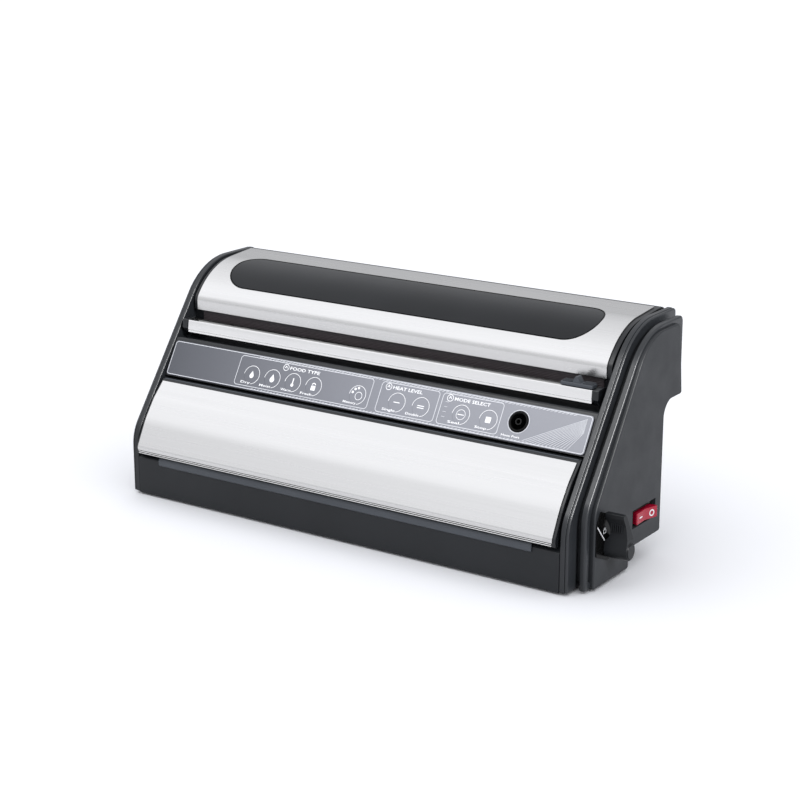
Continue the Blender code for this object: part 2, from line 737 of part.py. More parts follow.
def roll_lid(root):
    """Steel skin, moulded frame and smoked window of the roll compartment's lid."""
    pivot = empty_at("roll_lid_axis", 0, *ROLL_PIVOT, root)
    skin = prism_mesh([strip(ROLL_TOP, 1.0)], -ROLL_LID_X, ROLL_LID_X)
    piece("roll_lid_skin", skin, "brushed_steel", pivot, cuts=[window_shape(0.0)])
    pane = prism_mesh([strip(offset(ROLL_TOP, 0.1), 0.9)], WINDOW_U0 - 5, WINDOW_U1 + 5)
    piece("roll_lid_window", pane, "smoked_window", pivot, keeps=[window_shape(GAP)])
    inner = offset(ROLL_TOP, 1.35)
    barrel = arc(ROLL_PIVOT, 7.0, 82.0, -85.0, 10)
    frame_outline = inner[::-1] + barrel + [(134.2, 158.6)] + offset(ROLL_TOP, 3.4)[1:]
    body = prism_mesh([frame_outline], -ROLL_LID_X - 1.8, ROLL_LID_X + 1.8)
    pins = [hinge_pin(side, ROLL_PIVOT) for side in (-1, 1)]
    piece("roll_lid_frame", body, "black_plastic", pivot, joins=pins, cuts=[window_shape(4.0)])


def cutter(root):
    """Hinged cutter rail with its end arms, and the slider that carries the blade along it."""
    pivot = empty_at("cutter_rail_axis", 0, *RAIL_PIVOT, root)
    rail = [(52.6, 127.2), (51.7, 121.2), (53.7, 118.9), (56.2, 116.2), (58.6, 116.2), (60.6, 119.5),
            (60.6, 126.0), (59.4, 127.2), (57.2, 127.2), (57.2, 120.5), (56.0, 120.5), (56.0, 127.2)]
    piece("cutter_rail", prism_mesh([rail], -RAIL_X, RAIL_X), "polished_steel", pivot)
    arm = rounded([(52.0, 127.6, 1.0), (51.2, 121.0, 1.0), (56.0, 115.6, 1.0), (66.0, 116.8, 3.5),
                   (70.0, 120.4, 2.5), (69.6, 124.6, 2.5), (61.2, 128.0, 1.0)])
    for side, word in ((-1, "left"), (1, "right")):
        ends = sorted((side * (RAIL_X + GAP), side * 181.2))
        piece(f"cutter_{word}_arm", prism_mesh([arm], *ends), "black_plastic", pivot,
              joins=[hinge_pin(side, RAIL_PIVOT)])
    carriage = empty_at("cutter_slider_start", (SLIDER_X0 + SLIDER_X1) / 2, 56.6, 129.0, pivot)
    base = rounded([(52.9, 127.6), (60.2, 127.6), (60.2, 130.2, 1.0), (52.9, 130.2, 1.0)])
    fin = rounded([(160.0, 129.5), (166.0, 129.5), (163.8, 134.4, 0.9), (162.2, 134.4, 0.9)])
    fin_mesh = prism_mesh([fin], -59.4, -53.6, FRONTAL)
    piece("cutter_slider", prism_mesh([base], SLIDER_X0 + 0.2, SLIDER_X1 - 0.2), "black_plastic", carriage,
          joins=[fin_mesh])
    blade = rounded([(158.0, 121.2), (168.0, 121.2), (166.5, 127.2), (159.5, 127.2)])
    piece("cutter_blade", prism_mesh([blade], -56.8, -56.4, FRONTAL), "polished_steel", carriage)


def lock(root):
    """Side lever with its hub, cap and the shaft whose cams draw the lid down."""
    pivot = empty_at("lock_lever_axis", 205.0, *LEVER_PIVOT, root)
    y, z = LEVER_PIVOT
    hub = rod_mesh(6.6, 6.4, LEVER_X0, LEVER_X1, 32, across(y, z))
    arm = rounded([(26.6, 29.0), (39.2, 29.0), (31.9, 51.6, 1.2), (30.4, 53.8, 1.2), (27.0, 53.4, 0.8),
                   (27.1, 50.6, 1.0), (29.0, 45.0, 6.0), (28.6, 37.0, 6.0)])
    paddle = rounded([(LEVER_X0 - 1.0, 20.0), (LEVER_X1 + 1.0, 20.0), (LEVER_X1 + 0.4, 33.0),
                      (216.2, 50.0), (215.6, 53.9, 1.5), (202.4, 53.9, 1.0), (202.0, 50.0, 3.0),
                      (205.4, 42.0, 3.0), (205.4, 38.0, 4.0), (LEVER_X0 - 1.0, 31.5)])
    bore = rod_mesh(SHAFT_R + 0.3, SHAFT_R + 0.3, 190, 212, 24, across(y, z))
    piece("lock_lever", hub, "black_plastic", pivot, cuts=[bore],
          joins=[prism_mesh([arm], LEVER_X0, LEVER_X1)], keeps=[prism_mesh([paddle], -60.0, -10.0, FRONTAL)])
    piece("lock_lever_cap", rod_mesh(5.2, 4.8, 218.7, 219.3, 32, across(y, z)), "dark_plastic", pivot)
    shaft = rod_mesh(SHAFT_R, SHAFT_R, -176.0, 211.6, 24, across(y, z))
    cams = []
    for side in (-1, 1):
        cam = [(y - 2.0, z - 3.0), (y + 6.0, z - 3.0), (y + 7.0, z + 1.0), (y + 2.0, z + 4.2),
               (y - 2.4, z + 3.0)]
        cams.append(prism_mesh([cam], side * CATCH_X - 2.5, side * CATCH_X + 2.5))
    piece("lock_shaft", shaft, "iron", pivot, joins=cams)


def power_rocker(root):
    """Switch rocker: its outward face is a shallow V, so one end stands out while the other is pressed."""
    y, z = ROCKER_CENTRE
    pivot = empty_at("power_rocker_axis", ROCKER_X, y, z, root)
    half = [(0.0, 3.0), (12.6, 5.1), (11.8, -1.0), (5.0, -4.6)]
    outline = half + [(-u, v) for u, v in half[:0:-1]]
    seat = Matrix.Translation(Vector((ROCKER_X, y, z)) * MM) @ Matrix.Rotation(-ROCKER_TILT, 4, "Z")
    from_below = Matrix(((0, 1, 0, 0), (1, 0, 0, 0), (0, 0, -1, 0), (0, 0, 0, 1)))
    piece("power_rocker", prism_mesh([outline], -4.1, 4.1, seat @ from_below), "red_plastic", pivot)


def keys(root):
    """Round keys that stand in the panel's holes, each a short sprung travel."""
    for name, x in zip(KEY_NAMES, KEY_XS):
        seat = on(PANEL, x, KEY_T)
        spot = seat.translation / MM
        pivot = empty_at(f"key_{name}_seat", *spot, root)
        piece(f"key_{name}", rod_mesh(KEY_R, KEY_R, -KEY_DEPTH, 0.0, 32, seat), "panel_film", pivot)


def main():
    clear_scene()
    root = empty_at("vacuum_sealer_origin", -CENTRE_X, -CENTRE_Y, 0.0)
    for build in (end_rims, side_covers, base_tray, front_ledge, bottom_cover, rear_cover, main_bezel,
                  roll_cradle, control_overlay, accessory_port, feet, chamber_parts, pump_parts,
                  electric_parts, switch_housing, lever_plate, chamber_lid, roll_lid, cutter, lock,
                  power_rocker, keys):
        build(root)


main()
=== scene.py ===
"""Looks of the upright vacuum sealer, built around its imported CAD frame.

Lengths below are millimetres in the design frame: X to the right as seen from the front, Y to the rear,
Z up, with Y = 0 just behind the front wall and Z = 0 on the table. WORLD turns them into the frame's metres.
"""

import json
import math

import bmesh
import bpy
from mathutils import Matrix, Vector


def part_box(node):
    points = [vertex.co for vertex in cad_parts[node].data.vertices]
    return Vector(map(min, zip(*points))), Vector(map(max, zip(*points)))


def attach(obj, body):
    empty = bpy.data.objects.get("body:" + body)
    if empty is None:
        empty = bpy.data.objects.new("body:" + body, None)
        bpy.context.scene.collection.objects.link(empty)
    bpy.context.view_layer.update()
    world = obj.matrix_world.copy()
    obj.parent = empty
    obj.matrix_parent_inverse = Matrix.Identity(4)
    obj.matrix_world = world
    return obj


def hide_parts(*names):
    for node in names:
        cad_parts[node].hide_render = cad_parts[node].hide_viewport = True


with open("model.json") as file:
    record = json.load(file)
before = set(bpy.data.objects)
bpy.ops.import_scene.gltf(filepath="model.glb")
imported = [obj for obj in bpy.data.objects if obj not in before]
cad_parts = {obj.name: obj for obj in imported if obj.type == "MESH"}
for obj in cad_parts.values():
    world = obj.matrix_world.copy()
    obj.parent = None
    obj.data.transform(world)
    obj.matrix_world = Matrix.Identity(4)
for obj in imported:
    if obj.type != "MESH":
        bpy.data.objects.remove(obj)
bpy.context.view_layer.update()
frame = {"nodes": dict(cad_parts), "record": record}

NODES = frame["nodes"]

# ---------------------------------------------------------------- driving dimensions

MM = 0.001
BACK_Y = 146.8
TOP_Z = 168.0
FRONT_Y = -1.0
BASE_Z = 1.5
STEP_Y, STEP_Z = 66.0, 15.4
HEEL_Y, SHELF_Z = 112.0, 109.0
SLOPE = math.radians(54.0)
SLOPE_Y, SLOPE_Z = 11.8, 66.1
WALL = 2.2

BAY_X = 183.94
RIM_IN_X, RIM_OUT_X = 184.0, 190.0
TRIM_STEP_X, TRIM_OUT_X = 194.0, 198.0
PANEL_OUT_X = 200.7
LEFT_COVER_X, LEFT_COVER_INSET = -192.7, 5.0
LID_X = 180.5
ROLL_LID_X = 178.8
RAIL_X = 176.0

DECK_TILT = math.radians(25.0)
DECK_Y, DECK_Z = 1.0, 31.0
PANEL_TILT = math.radians(59.04)
PANEL_Y, PANEL_Z = 31.0, 88.0
OVERLAY_X, OVERLAY_LENGTH = 182.3, 28.0
BEZEL_DEPTH = 1.15

KEY_T = 12.0
KEY_HOLE_R, CAP_R = 6.75, 6.7
KEYS = {
    "dry": -102.6, "moist": -83.4, "warm": -64.4, "fresh": -45.4, "memory": -6.0,
    "single_heat": 28.1, "double_heat": 48.4, "seal_only": 81.9, "stop": 104.2,
}
PORT_X, PORT_T, PORT_R = 127.7, 14.8, 7.4

LID_PIVOT = (30.5, 80.5)
ROLL_PIVOT = (138.5, 161.5)
LEVER_PIVOT = (33.0, 27.5)
ROCKER_X, ROCKER_Y, ROCKER_Z = 198.0, 88.0, 34.0
SWITCH_LOW, SWITCH_HIGH = (69.5, 28.4), (103.4, 41.8)
ROCKER_TILT = math.radians(7.0)
LID_CLEAR = 5.2
WELL = (-150.4, 20.1, 150.4, 36.9)
INK_LOW, INK_HIGH = 0.02, 0.07
RIM_BEVEL, RIM_BEAD, TRIM_BEAD = 0.9, 1.1, 1.4
BEAD_R, RIDGE_R = 0.36, 0.55

CAMERA_AT = (757.5, -1028.6, 474.6)
CAMERA_DOWN, CAMERA_TURN = math.radians(16.17), math.radians(34.28)
CAMERA_LENS = 85.5
FLOOR_HALF, FLOOR_DROP = 6.0, 0.0002

# The design frame's origin: the end rims are even about it, and their backs are BACK_Y behind it.
LEFT_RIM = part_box("left_end_rim")
RIGHT_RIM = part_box("right_end_rim")
ORIGIN = Vector(((LEFT_RIM[0].x + RIGHT_RIM[1].x) / 2, LEFT_RIM[1].y - BACK_Y * MM, 0.0))
WORLD = Matrix.Translation(ORIGIN) @ Matrix.Scale(MM, 4)

# ---------------------------------------------------------------- outlines


def arc(centre, radius, start, end, steps):
    """Points along an arc, angles in degrees."""
    turns = [math.radians(start + (end - start) * i / steps) for i in range(steps + 1)]
    return [(centre[0] + radius * math.cos(a), centre[1] + radius * math.sin(a)) for a in turns]


def circle(centre, radius, steps=48):
    return arc(centre, radius, 0.0, 360.0 - 360.0 / steps, steps - 1)


def fillet(before, corner, after, radius, step_degrees):
    """The arc that rounds one corner, or the bare corner if radius is 0."""
    back = (Vector(before) - Vector(corner)).normalized()
    ahead = (Vector(after) - Vector(corner)).normalized()
    half = back.angle(ahead) / 2
    if radius <= 0 or math.pi / 2 - half < 0.01:
        return [tuple(corner)]
    middle = Vector(corner) + (back + ahead).normalized() * (radius / math.sin(half))
    first = Vector(corner) + back * (radius / math.tan(half)) - middle
    turn = first.angle_signed(Vector(corner) + ahead * (radius / math.tan(half)) - middle)
    steps = max(2, round(abs(math.degrees(turn)) / step_degrees))
    return [tuple(middle + Matrix.Rotation(-turn * i / steps, 2) @ first) for i in range(steps + 1)]


def rounded(corners, closed=True, fine=3.9, coarse=11.0):
    """An outline from its corners, each (u, v) or (u, v, radius)."""
    points = []
    for i, corner in enumerate(corners):
        here = tuple(corner[:2])
        radius = corner[2] if len(corner) > 2 else 0.0
        at_end = not closed and i in (0, len(corners) - 1)
        if at_end or radius <= 0:
            points.append(here)
            continue
        before = tuple(corners[i - 1][:2])
        after = tuple(corners[(i + 1) % len(corners)][:2])
        points.extend(fillet(before, here, after, radius, fine if radius > 8 else coarse))
    return points


def box_outline(u0, v0, u1, v1, radius=0.0, coarse=11.0):
    return rounded([(u0, v0, radius), (u1, v0, radius), (u1, v1, radius), (u0, v1, radius)], coarse=coarse)


def offset(points, distance, closed=False):
    """The path moved to its left by distance, with mitred corners."""
    moved = []
    count = len(points)
    for i, point in enumerate(points):
        here = Vector(point)
        runs = []
        if closed or i > 0:
            runs.append((here - Vector(points[i - 1])).normalized())
        if closed or i < count - 1:
            runs.append((Vector(points[(i + 1) % count]) - here).normalized())
        lefts = [Vector((-run.y, run.x)) for run in runs]
        total = sum(lefts[1:], lefts[0])
        scale = len(lefts) / (total.length_squared or 1.0)
        moved.append(tuple(here + total * scale * distance))
    return moved


def strip(points, thickness):
    """A wall of even thickness, on the left of an open path."""
    return list(points) + offset(points, thickness)[::-1]


def anticlockwise(outline):
    area = sum(a[0] * b[1] - b[0] * a[1] for a, b in zip(outline, outline[1:] + outline[:1]))
    return outline if area > 0 else outline[::-1]


# ---------------------------------------------------------------- frames, in millimetres

SIDE = Matrix(((0, 0, 1, 0), (1, 0, 0, 0), (0, 1, 0, 0), (0, 0, 0, 1)))
FRONTAL = Matrix.Rotation(math.radians(90), 4, "X")


def slope_frame(y, z, tilt):
    return Matrix.Translation(Vector((0, y, z))) @ Matrix.Rotation(tilt, 4, "X")


def across(y, z):
    """A frame at (y, z) whose w axis is X."""
    return Matrix.Translation(Vector((0, y, z))) @ SIDE


def on(place, u, v, w=0.0):
    return place @ Matrix.Translation(Vector((u, v, w)))


DECK = slope_frame(DECK_Y, DECK_Z, DECK_TILT)
PANEL = slope_frame(PANEL_Y, PANEL_Z, PANEL_TILT)


def deck_point(distance, height):
    """(y, z) at a distance up the deck and a height above it."""
    y = DECK_Y + distance * math.cos(DECK_TILT) - height * math.sin(DECK_TILT)
    z = DECK_Z + distance * math.sin(DECK_TILT) + height * math.cos(DECK_TILT)
    return (y, z)


# ---------------------------------------------------------------- meshes


def mesh_of(shape):
    mesh = bpy.data.meshes.new("shape")
    bmesh.ops.recalc_face_normals(shape, faces=shape.faces)
    shape.to_mesh(mesh)
    shape.free()
    return mesh


def add_rings(shape, rings, place):
    """Bridges rings of (u, v, w) points into a closed body with flat ends."""
    matrix = WORLD @ place
    loops = [[shape.verts.new(matrix @ Vector(p)) for p in ring] for ring in rings]
    count = len(loops[0])
    for low, high in zip(loops, loops[1:]):
        for i in range(count):
            shape.faces.new((low[i], low[(i + 1) % count], high[(i + 1) % count], high[i]))
    shape.faces.new(loops[0][::-1])
    shape.faces.new(loops[-1])


def add_plate(shape, outline, low, high, edge=0.6, place=SIDE, steps=3, edges=(True, True)):
    """A flat outline from w = low to w = high, its rims rounded by edge."""
    outline = anticlockwise(outline)
    rings = []
    turns = [math.pi / 2 * i / steps for i in range(steps + 1)]
    if edges[0] and edge > 0:
        rings += [(edge * (1 - math.sin(a)), low + edge * (1 - math.cos(a))) for a in turns]
    else:
        rings.append((0.0, low))
    if edges[1] and edge > 0:
        rings += [(edge * (1 - math.sin(a)), high - edge * (1 - math.cos(a))) for a in turns[::-1]]
    else:
        rings.append((0.0, high))
    loops = [[(u, v, w) for u, v in offset(outline, inset, closed=True)] for inset, w in rings]
    add_rings(shape, loops, place)


def plate(outline, low, high, edge=0.6, place=SIDE, steps=3, edges=(True, True)):
    shape = bmesh.new()
    add_plate(shape, outline, low, high, edge, place, steps, edges)
    return mesh_of(shape)


def quarter(radius):
    """Six points of a rounded edge, each as (in from the side face, in from the end face)."""
    turns = [math.radians(18 * i) for i in range(6)]
    return [(radius * (1 - math.cos(a)), radius * (1 - math.sin(a))) for a in turns]


def add_turned(shape, profile, place, steps=48):
    """A body of revolution about w from (radius, w) points, closed at both ends."""
    rings = [[(r * c, r * s, w) for c, s in circle((0, 0), 1.0, steps)] for r, w in profile]
    add_rings(shape, rings, place)


def turned(profile, place, steps=48):
    shape = bmesh.new()
    add_turned(shape, profile, place, steps)
    return mesh_of(shape)


def disc_profile(radius, low, high, edge=0.5):
    """Profile of a disc with both rims rounded."""
    half = [(radius - edge + edge * math.sin(a), low + edge - edge * math.cos(a))
            for a in (0, math.pi / 6, math.pi / 3, math.pi / 2)]
    return half + [(r, high + low - w) for r, w in half[::-1]]


def add_box(shape, low, high, place=None, edge=0.4):
    outline = box_outline(low[0], low[1], high[0], high[1], min(edge * 1.2, (high[0] - low[0]) * 0.4), 30)
    add_plate(shape, outline, low[2], high[2], edge, place or Matrix.Identity(4), 2)


def stroke(points, width, closed=False):
    """One or two outlines that draw a line of even width."""
    if closed:
        loop = anticlockwise(points)
        return offset(loop, -width / 2, True), offset(loop, width / 2, True)
    return offset(points, width / 2) + offset(points, -width / 2)[::-1], None


def add_line(shape, points, width, low, high, place, closed=False):
    """A thin raised line along a path in a flat frame."""
    outer, inner = stroke(points, width, closed)
    matrix = WORLD @ place
    if inner is None:
        add_rings(shape, [[(u, v, w) for u, v in anticlockwise(outer)] for w in (low, high)], place)
        return
    loops = []
    for path, w in ((outer, low), (outer, high), (inner, high), (inner, low)):
        loops.append([shape.verts.new(matrix @ Vector((u, v, w))) for u, v in path])
    count = len(outer)
    for a, b in zip(loops, loops[1:] + loops[:1]):
        for i in range(count):
            shape.faces.new((a[i], a[(i + 1) % count], b[(i + 1) % count], b[i]))


# ---------------------------------------------------------------- materials


def new_material(name):
    material = bpy.data.materials.new(name)
    material.use_nodes = True
    tree = material.node_tree
    return material, tree, tree.nodes["Principled BSDF"]


def link_noise(tree, scale, detail=3.0, stretch=(1, 1, 1), roughness=0.5):
    """A noise texture in the piece's own coordinates, in metres, stretched along each axis."""
    where = tree.nodes.new("ShaderNodeTexCoord")
    fit = tree.nodes.new("ShaderNodeMapping")
    fit.inputs["Scale"].default_value = stretch
    noise = tree.nodes.new("ShaderNodeTexNoise")
    noise.inputs["Scale"].default_value = scale
    noise.inputs["Detail"].default_value = detail
    noise.inputs["Roughness"].default_value = roughness
    tree.links.new(where.outputs["Object"], fit.inputs["Vector"])
    tree.links.new(fit.outputs["Vector"], noise.inputs["Vector"])
    return noise


def link_ramp(tree, source, stops, target):
    ramp = tree.nodes.new("ShaderNodeValToRGB")
    ramp.color_ramp.elements[0].position = stops[0][0]
    ramp.color_ramp.elements[0].color = (*stops[0][1], 1)
    ramp.color_ramp.elements[1].position = stops[1][0]
    ramp.color_ramp.elements[1].color = (*stops[1][1], 1)
    tree.links.new(source.outputs["Fac"], ramp.inputs["Fac"])
    tree.links.new(ramp.outputs["Color"], target)


def link_range(tree, source, low, high, target):
    span = tree.nodes.new("ShaderNodeMapRange")
    span.inputs["From Min"].default_value = 0.3
    span.inputs["From Max"].default_value = 0.7
    span.inputs["To Min"].default_value = low
    span.inputs["To Max"].default_value = high
    tree.links.new(source.outputs["Fac"], span.inputs["Value"])
    tree.links.new(span.outputs["Result"], target)


def link_bump(tree, source, shader, strength, distance):
    bump = tree.nodes.new("ShaderNodeBump")
    bump.inputs["Strength"].default_value = strength
    bump.inputs["Distance"].default_value = distance
    tree.links.new(source.outputs["Fac"], bump.inputs["Height"])
    tree.links.new(bump.outputs["Normal"], shader.inputs["Normal"])


def grey(value, tint=(1.0, 1.0, 1.0)):
    return tuple(value * t for t in tint)


def moulded(name, dark, light, rough=(0.36, 0.48), grain=900.0, depth=0.00004, coat=0.0, shine=0.5):
    """Moulded plastic: a fine spark-eroded grain over slow shade and gloss changes."""
    material, tree, shader = new_material(name)
    shader.inputs["Specular IOR Level"].default_value = shine
    slow = link_noise(tree, 14.0, 2.0)
    link_ramp(tree, slow, ((0.3, dark), (0.7, light)), shader.inputs["Base Color"])
    patches = link_noise(tree, 60.0, 4.0)
    link_range(tree, patches, rough[0], rough[1], shader.inputs["Roughness"])
    fine = link_noise(tree, grain, 2.0)
    link_bump(tree, fine, shader, 0.35, depth)
    shader.inputs["Coat Weight"].default_value = coat
    shader.inputs["Coat Roughness"].default_value = 0.25
    return material


def brushed(name, dark, light, rough, streak=(1.5, 900.0, 900.0), depth=0.000001):
    """Steel brushed along X: long fine scratches in its shade, gloss and relief."""
    material, tree, shader = new_material(name)
    shader.inputs["Metallic"].default_value = 1.0
    lines = link_noise(tree, 1.0, 4.0, streak, 0.65)
    link_ramp(tree, lines, ((0.3, dark), (0.7, light)), shader.inputs["Base Color"])
    wide = link_noise(tree, 1.0, 2.0, (4.0, 160.0, 160.0))
    link_range(tree, wide, rough[0], rough[1], shader.inputs["Roughness"])
    link_bump(tree, lines, shader, 0.3, depth)
    shader.inputs["Anisotropic"].default_value = 0.3
    return material


def printed(name, colour, rough=0.4):
    material, tree, shader = new_material(name)
    spread = link_noise(tree, 300.0, 3.0)
    faint = tuple(c * 0.9 for c in colour)
    link_ramp(tree, spread, ((0.3, faint), (0.7, colour)), shader.inputs["Base Color"])
    shader.inputs["Roughness"].default_value = rough
    return material


def panel_material(name):
    """Printed silver-grey film behind a clear hard coat, its left end darkened by a painted shade gradient.
    """
    material, tree, shader = new_material(name)
    where = tree.nodes.new("ShaderNodeTexCoord")
    split = tree.nodes.new("ShaderNodeSeparateXYZ")
    tree.links.new(where.outputs["Object"], split.inputs["Vector"])
    # Painted shade: the film's colour runs from dark at its left end up to its full grey three fifths of the
    # way along.
    span = tree.nodes.new("ShaderNodeMapRange")
    span.inputs["From Min"].default_value = ORIGIN.x - OVERLAY_X * MM
    span.inputs["From Max"].default_value = ORIGIN.x + OVERLAY_X * MM
    tree.links.new(split.outputs["X"], span.inputs["Value"])
    ramp = tree.nodes.new("ShaderNodeValToRGB")
    ramp.color_ramp.elements[0].color = (*grey(0.044, (0.92, 1.0, 1.26)), 1)
    ramp.color_ramp.elements[1].position = 0.60
    ramp.color_ramp.elements[1].color = (*grey(0.19, (0.97, 1.0, 1.14)), 1)
    tree.links.new(span.outputs["Result"], ramp.inputs["Fac"])
    fleck = link_noise(tree, 2500.0, 2.0)
    mix = tree.nodes.new("ShaderNodeMix")
    mix.data_type = "RGBA"
    mix.blend_type = "OVERLAY"
    mix.inputs["Factor"].default_value = 0.12
    tree.links.new(ramp.outputs["Color"], mix.inputs["A"])
    tree.links.new(fleck.outputs["Fac"], mix.inputs["B"])
    tree.links.new(mix.outputs["Result"], shader.inputs["Base Color"])
    shader.inputs["Roughness"].default_value = 0.38
    shader.inputs["Coat Weight"].default_value = 0.2
    shader.inputs["Coat Roughness"].default_value = 0.18
    return material


# Tints: the black plastics are slightly blue, the steel slightly warm.
COOL = (0.90, 1.0, 1.16)
STEEL = (1.02, 1.01, 0.995)
MATERIALS = {
    "black_plastic": moulded("black_plastic", grey(0.008, COOL), grey(0.011, COOL), (0.28, 0.36), shine=0.34),
    "dark_plastic": moulded("dark_plastic", grey(0.010, COOL), grey(0.013, COOL), (0.42, 0.52), shine=0.26),
    "gloss_black": moulded("gloss_black", grey(0.003), grey(0.005), (0.12, 0.20), 400.0, 0.00001, shine=0.07),
    "brushed_steel": brushed("brushed_steel", grey(0.575, STEEL), grey(0.60, STEEL), (0.25, 0.29)),
    "polished_steel": brushed("polished_steel", grey(0.70, STEEL), grey(0.76, STEEL), (0.14, 0.20),
                              (2.0, 500.0, 500.0)),
    "panel_film": panel_material("panel_film"),
    "smoked_window": moulded("smoked_window", grey(0.006, COOL), grey(0.009, COOL), (0.20, 0.26), 200.0,
                             0.000004, shine=0.22),
    "red_plastic": moulded("red_plastic", (0.34, 0.0015, 0.020), (0.40, 0.002, 0.026), (0.18, 0.26), 500.0,
                           0.00001, coat=0.2, shine=0.3),
    "grey_rubber": moulded("grey_rubber", grey(0.10), grey(0.15), (0.70, 0.85), 1500.0),
    "seal_tape": moulded("seal_tape", (0.42, 0.29, 0.18), (0.55, 0.40, 0.26), (0.45, 0.6), 1800.0, 0.00006),
    "ivory_plastic": moulded("ivory_plastic", (0.62, 0.60, 0.54), (0.70, 0.68, 0.62), (0.4, 0.5)),
    "iron": moulded("iron", grey(0.16), grey(0.24), (0.35, 0.6), 700.0),
    "circuit_green": moulded("circuit_green", (0.01, 0.12, 0.04), (0.02, 0.17, 0.06), (0.35, 0.45), 1200.0),
    "clear_hose": moulded("clear_hose", (0.50, 0.53, 0.50), (0.60, 0.63, 0.60), (0.25, 0.35), 300.0),
}
MATERIALS["iron"].node_tree.nodes["Principled BSDF"].inputs["Metallic"].default_value = 1.0
# A lighter copy of the dark plastic that paints light: the lit face of the upturned front ledge, and
# highlight lines on the lid's ridges and the slider.
PAINTED_LIGHT_PLASTIC = moulded("painted_light_plastic", grey(0.048, COOL), grey(0.056, COOL), (0.40, 0.50), shine=0.3)
PANEL_PLASTIC = moulded("side_panel_plastic", grey(0.008, COOL), grey(0.010, COOL), (0.40, 0.50), shine=0.24)
KNOB_PLASTIC = moulded("knob_plastic", grey(0.004, COOL), grey(0.006, COOL), (0.34, 0.42), shine=0.15)
GUIDE_PLASTIC = moulded("guide_plastic", (0.036, 0.029, 0.032), (0.048, 0.040, 0.043), (0.35, 0.45),
                        shine=0.4)
WHITE_PRINT = printed("white_print", (0.90, 0.90, 0.91), 0.5)
SILVER_PRINT = printed("silver_print", (0.66, 0.67, 0.70), 0.4)

# ---------------------------------------------------------------- pieces


PIECES = []
EDGE_LIT = ("right_rim_band", "left_rim_band", "right_trim_band", "right_panel_shell", "lock_lever_finished",
            "lever_ribs", "lock_lever_cap_finished", "switch_housing_finished")


def show(name, mesh, slot, body, nodes=(), material=None, smooth=40.0, cuts=(), keeps=(), bevel=0.0):
    """One finished piece: it takes a material, rides on its body and stands for the CAD nodes named."""
    mesh.name = name
    mesh.materials.clear()
    mesh.materials.append(material or MATERIALS[slot])
    obj = bpy.data.objects.new(name, mesh)
    bpy.context.scene.collection.objects.link(obj)
    for operation, tools in (("DIFFERENCE", cuts), ("INTERSECT", keeps)):
        for tool_mesh in tools:
            cut_with(obj, tool_mesh, operation)
    mesh = obj.data
    if bevel:
        rounding = obj.modifiers.new("rounding", "BEVEL")
        rounding.width = bevel * MM
        rounding.segments = 2
        rounding.limit_method = "ANGLE"
        rounding.angle_limit = math.radians(50.0)
    mesh.shade_smooth()
    mesh.set_sharp_from_angle(angle=math.radians(smooth))
    even = obj.modifiers.new("even_shading", "WEIGHTED_NORMAL")
    even.keep_sharp = True
    PIECES.append((obj, slot))
    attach(obj, body)
    if nodes:
        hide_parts(*nodes)
    return obj


def cut_with(obj, tool_mesh, operation):
    """Applies one Boolean to the piece's mesh."""
    tool = bpy.data.objects.new("tool", tool_mesh)
    bpy.context.scene.collection.objects.link(tool)
    change = obj.modifiers.new("cut", "BOOLEAN")
    change.operation = operation
    change.object = tool
    change.solver = "EXACT"
    bpy.context.view_layer.update()
    graph = bpy.context.evaluated_depsgraph_get()
    result = bpy.data.meshes.new_from_object(obj.evaluated_get(graph))
    obj.modifiers.remove(change)
    old = obj.data
    obj.data = result
    result.name = old.name
    bpy.data.meshes.remove(old)
    bpy.data.objects.remove(tool, do_unlink=True)


# ---------------------------------------------------------------- side profiles


def slope_y(z, inwards=0.0):
    return SLOPE_Y + (z - SLOPE_Z) / math.tan(SLOPE) + inwards / math.sin(SLOPE)


def housing_outline(front_in, slope_in, top_in, back_in, under_in=0.0):
    """The housing's side outline, walked anticlockwise, with each face moved inwards."""
    front = FRONT_Y + front_in
    top = TOP_Z - top_in
    back = BACK_Y - back_in
    shoulder = SLOPE_Z + (front - SLOPE_Y - slope_in / math.sin(SLOPE)) * math.tan(SLOPE)
    return rounded(
        [
            (front, BASE_Z + under_in, 1.5),
            (STEP_Y - under_in, BASE_Z + under_in, 2.0),
            (STEP_Y - under_in, STEP_Z + under_in, 2.0),
            (HEEL_Y - under_in, STEP_Z + under_in, 2.0),
            (HEEL_Y - under_in, SHELF_Z + under_in, 12.0 + under_in),
            (back, SHELF_Z + under_in, 2.5),
            (back - 0.6, top, 3.5),
            (slope_y(top, slope_in), top, 56.0 - slope_in),
            (front, shoulder, 32.0 - slope_in),
        ]
    )


def trim_outline(inset):
    return housing_outline(10.0 + inset, 3.6 + inset, 3.7 + inset, 4.5 + inset, inset)


def panel_outline():
    return rounded(
        [
            (16.0, BASE_Z, 1.5),
            (STEP_Y, BASE_Z, 2.0),
            (STEP_Y, STEP_Z, 2.0),
            (HEEL_Y, STEP_Z, 2.0),
            (HEEL_Y, SHELF_Z, 12.0),
            (138.6, SHELF_Z, 2.0),
            (132.8, 161.0, 5.0),
            (86.6, 161.0, 42.0),
            (16.0, 55.4, 22.0),
        ]
    )


# ---------------------------------------------------------------- housing


def switch_hole():
    """The opening for the power switch through everything on the right side."""
    hole = bmesh.new()
    add_box(hole, (186.0, *SWITCH_LOW), (215.0, *SWITCH_HIGH), edge=0.2)
    return mesh_of(hole)


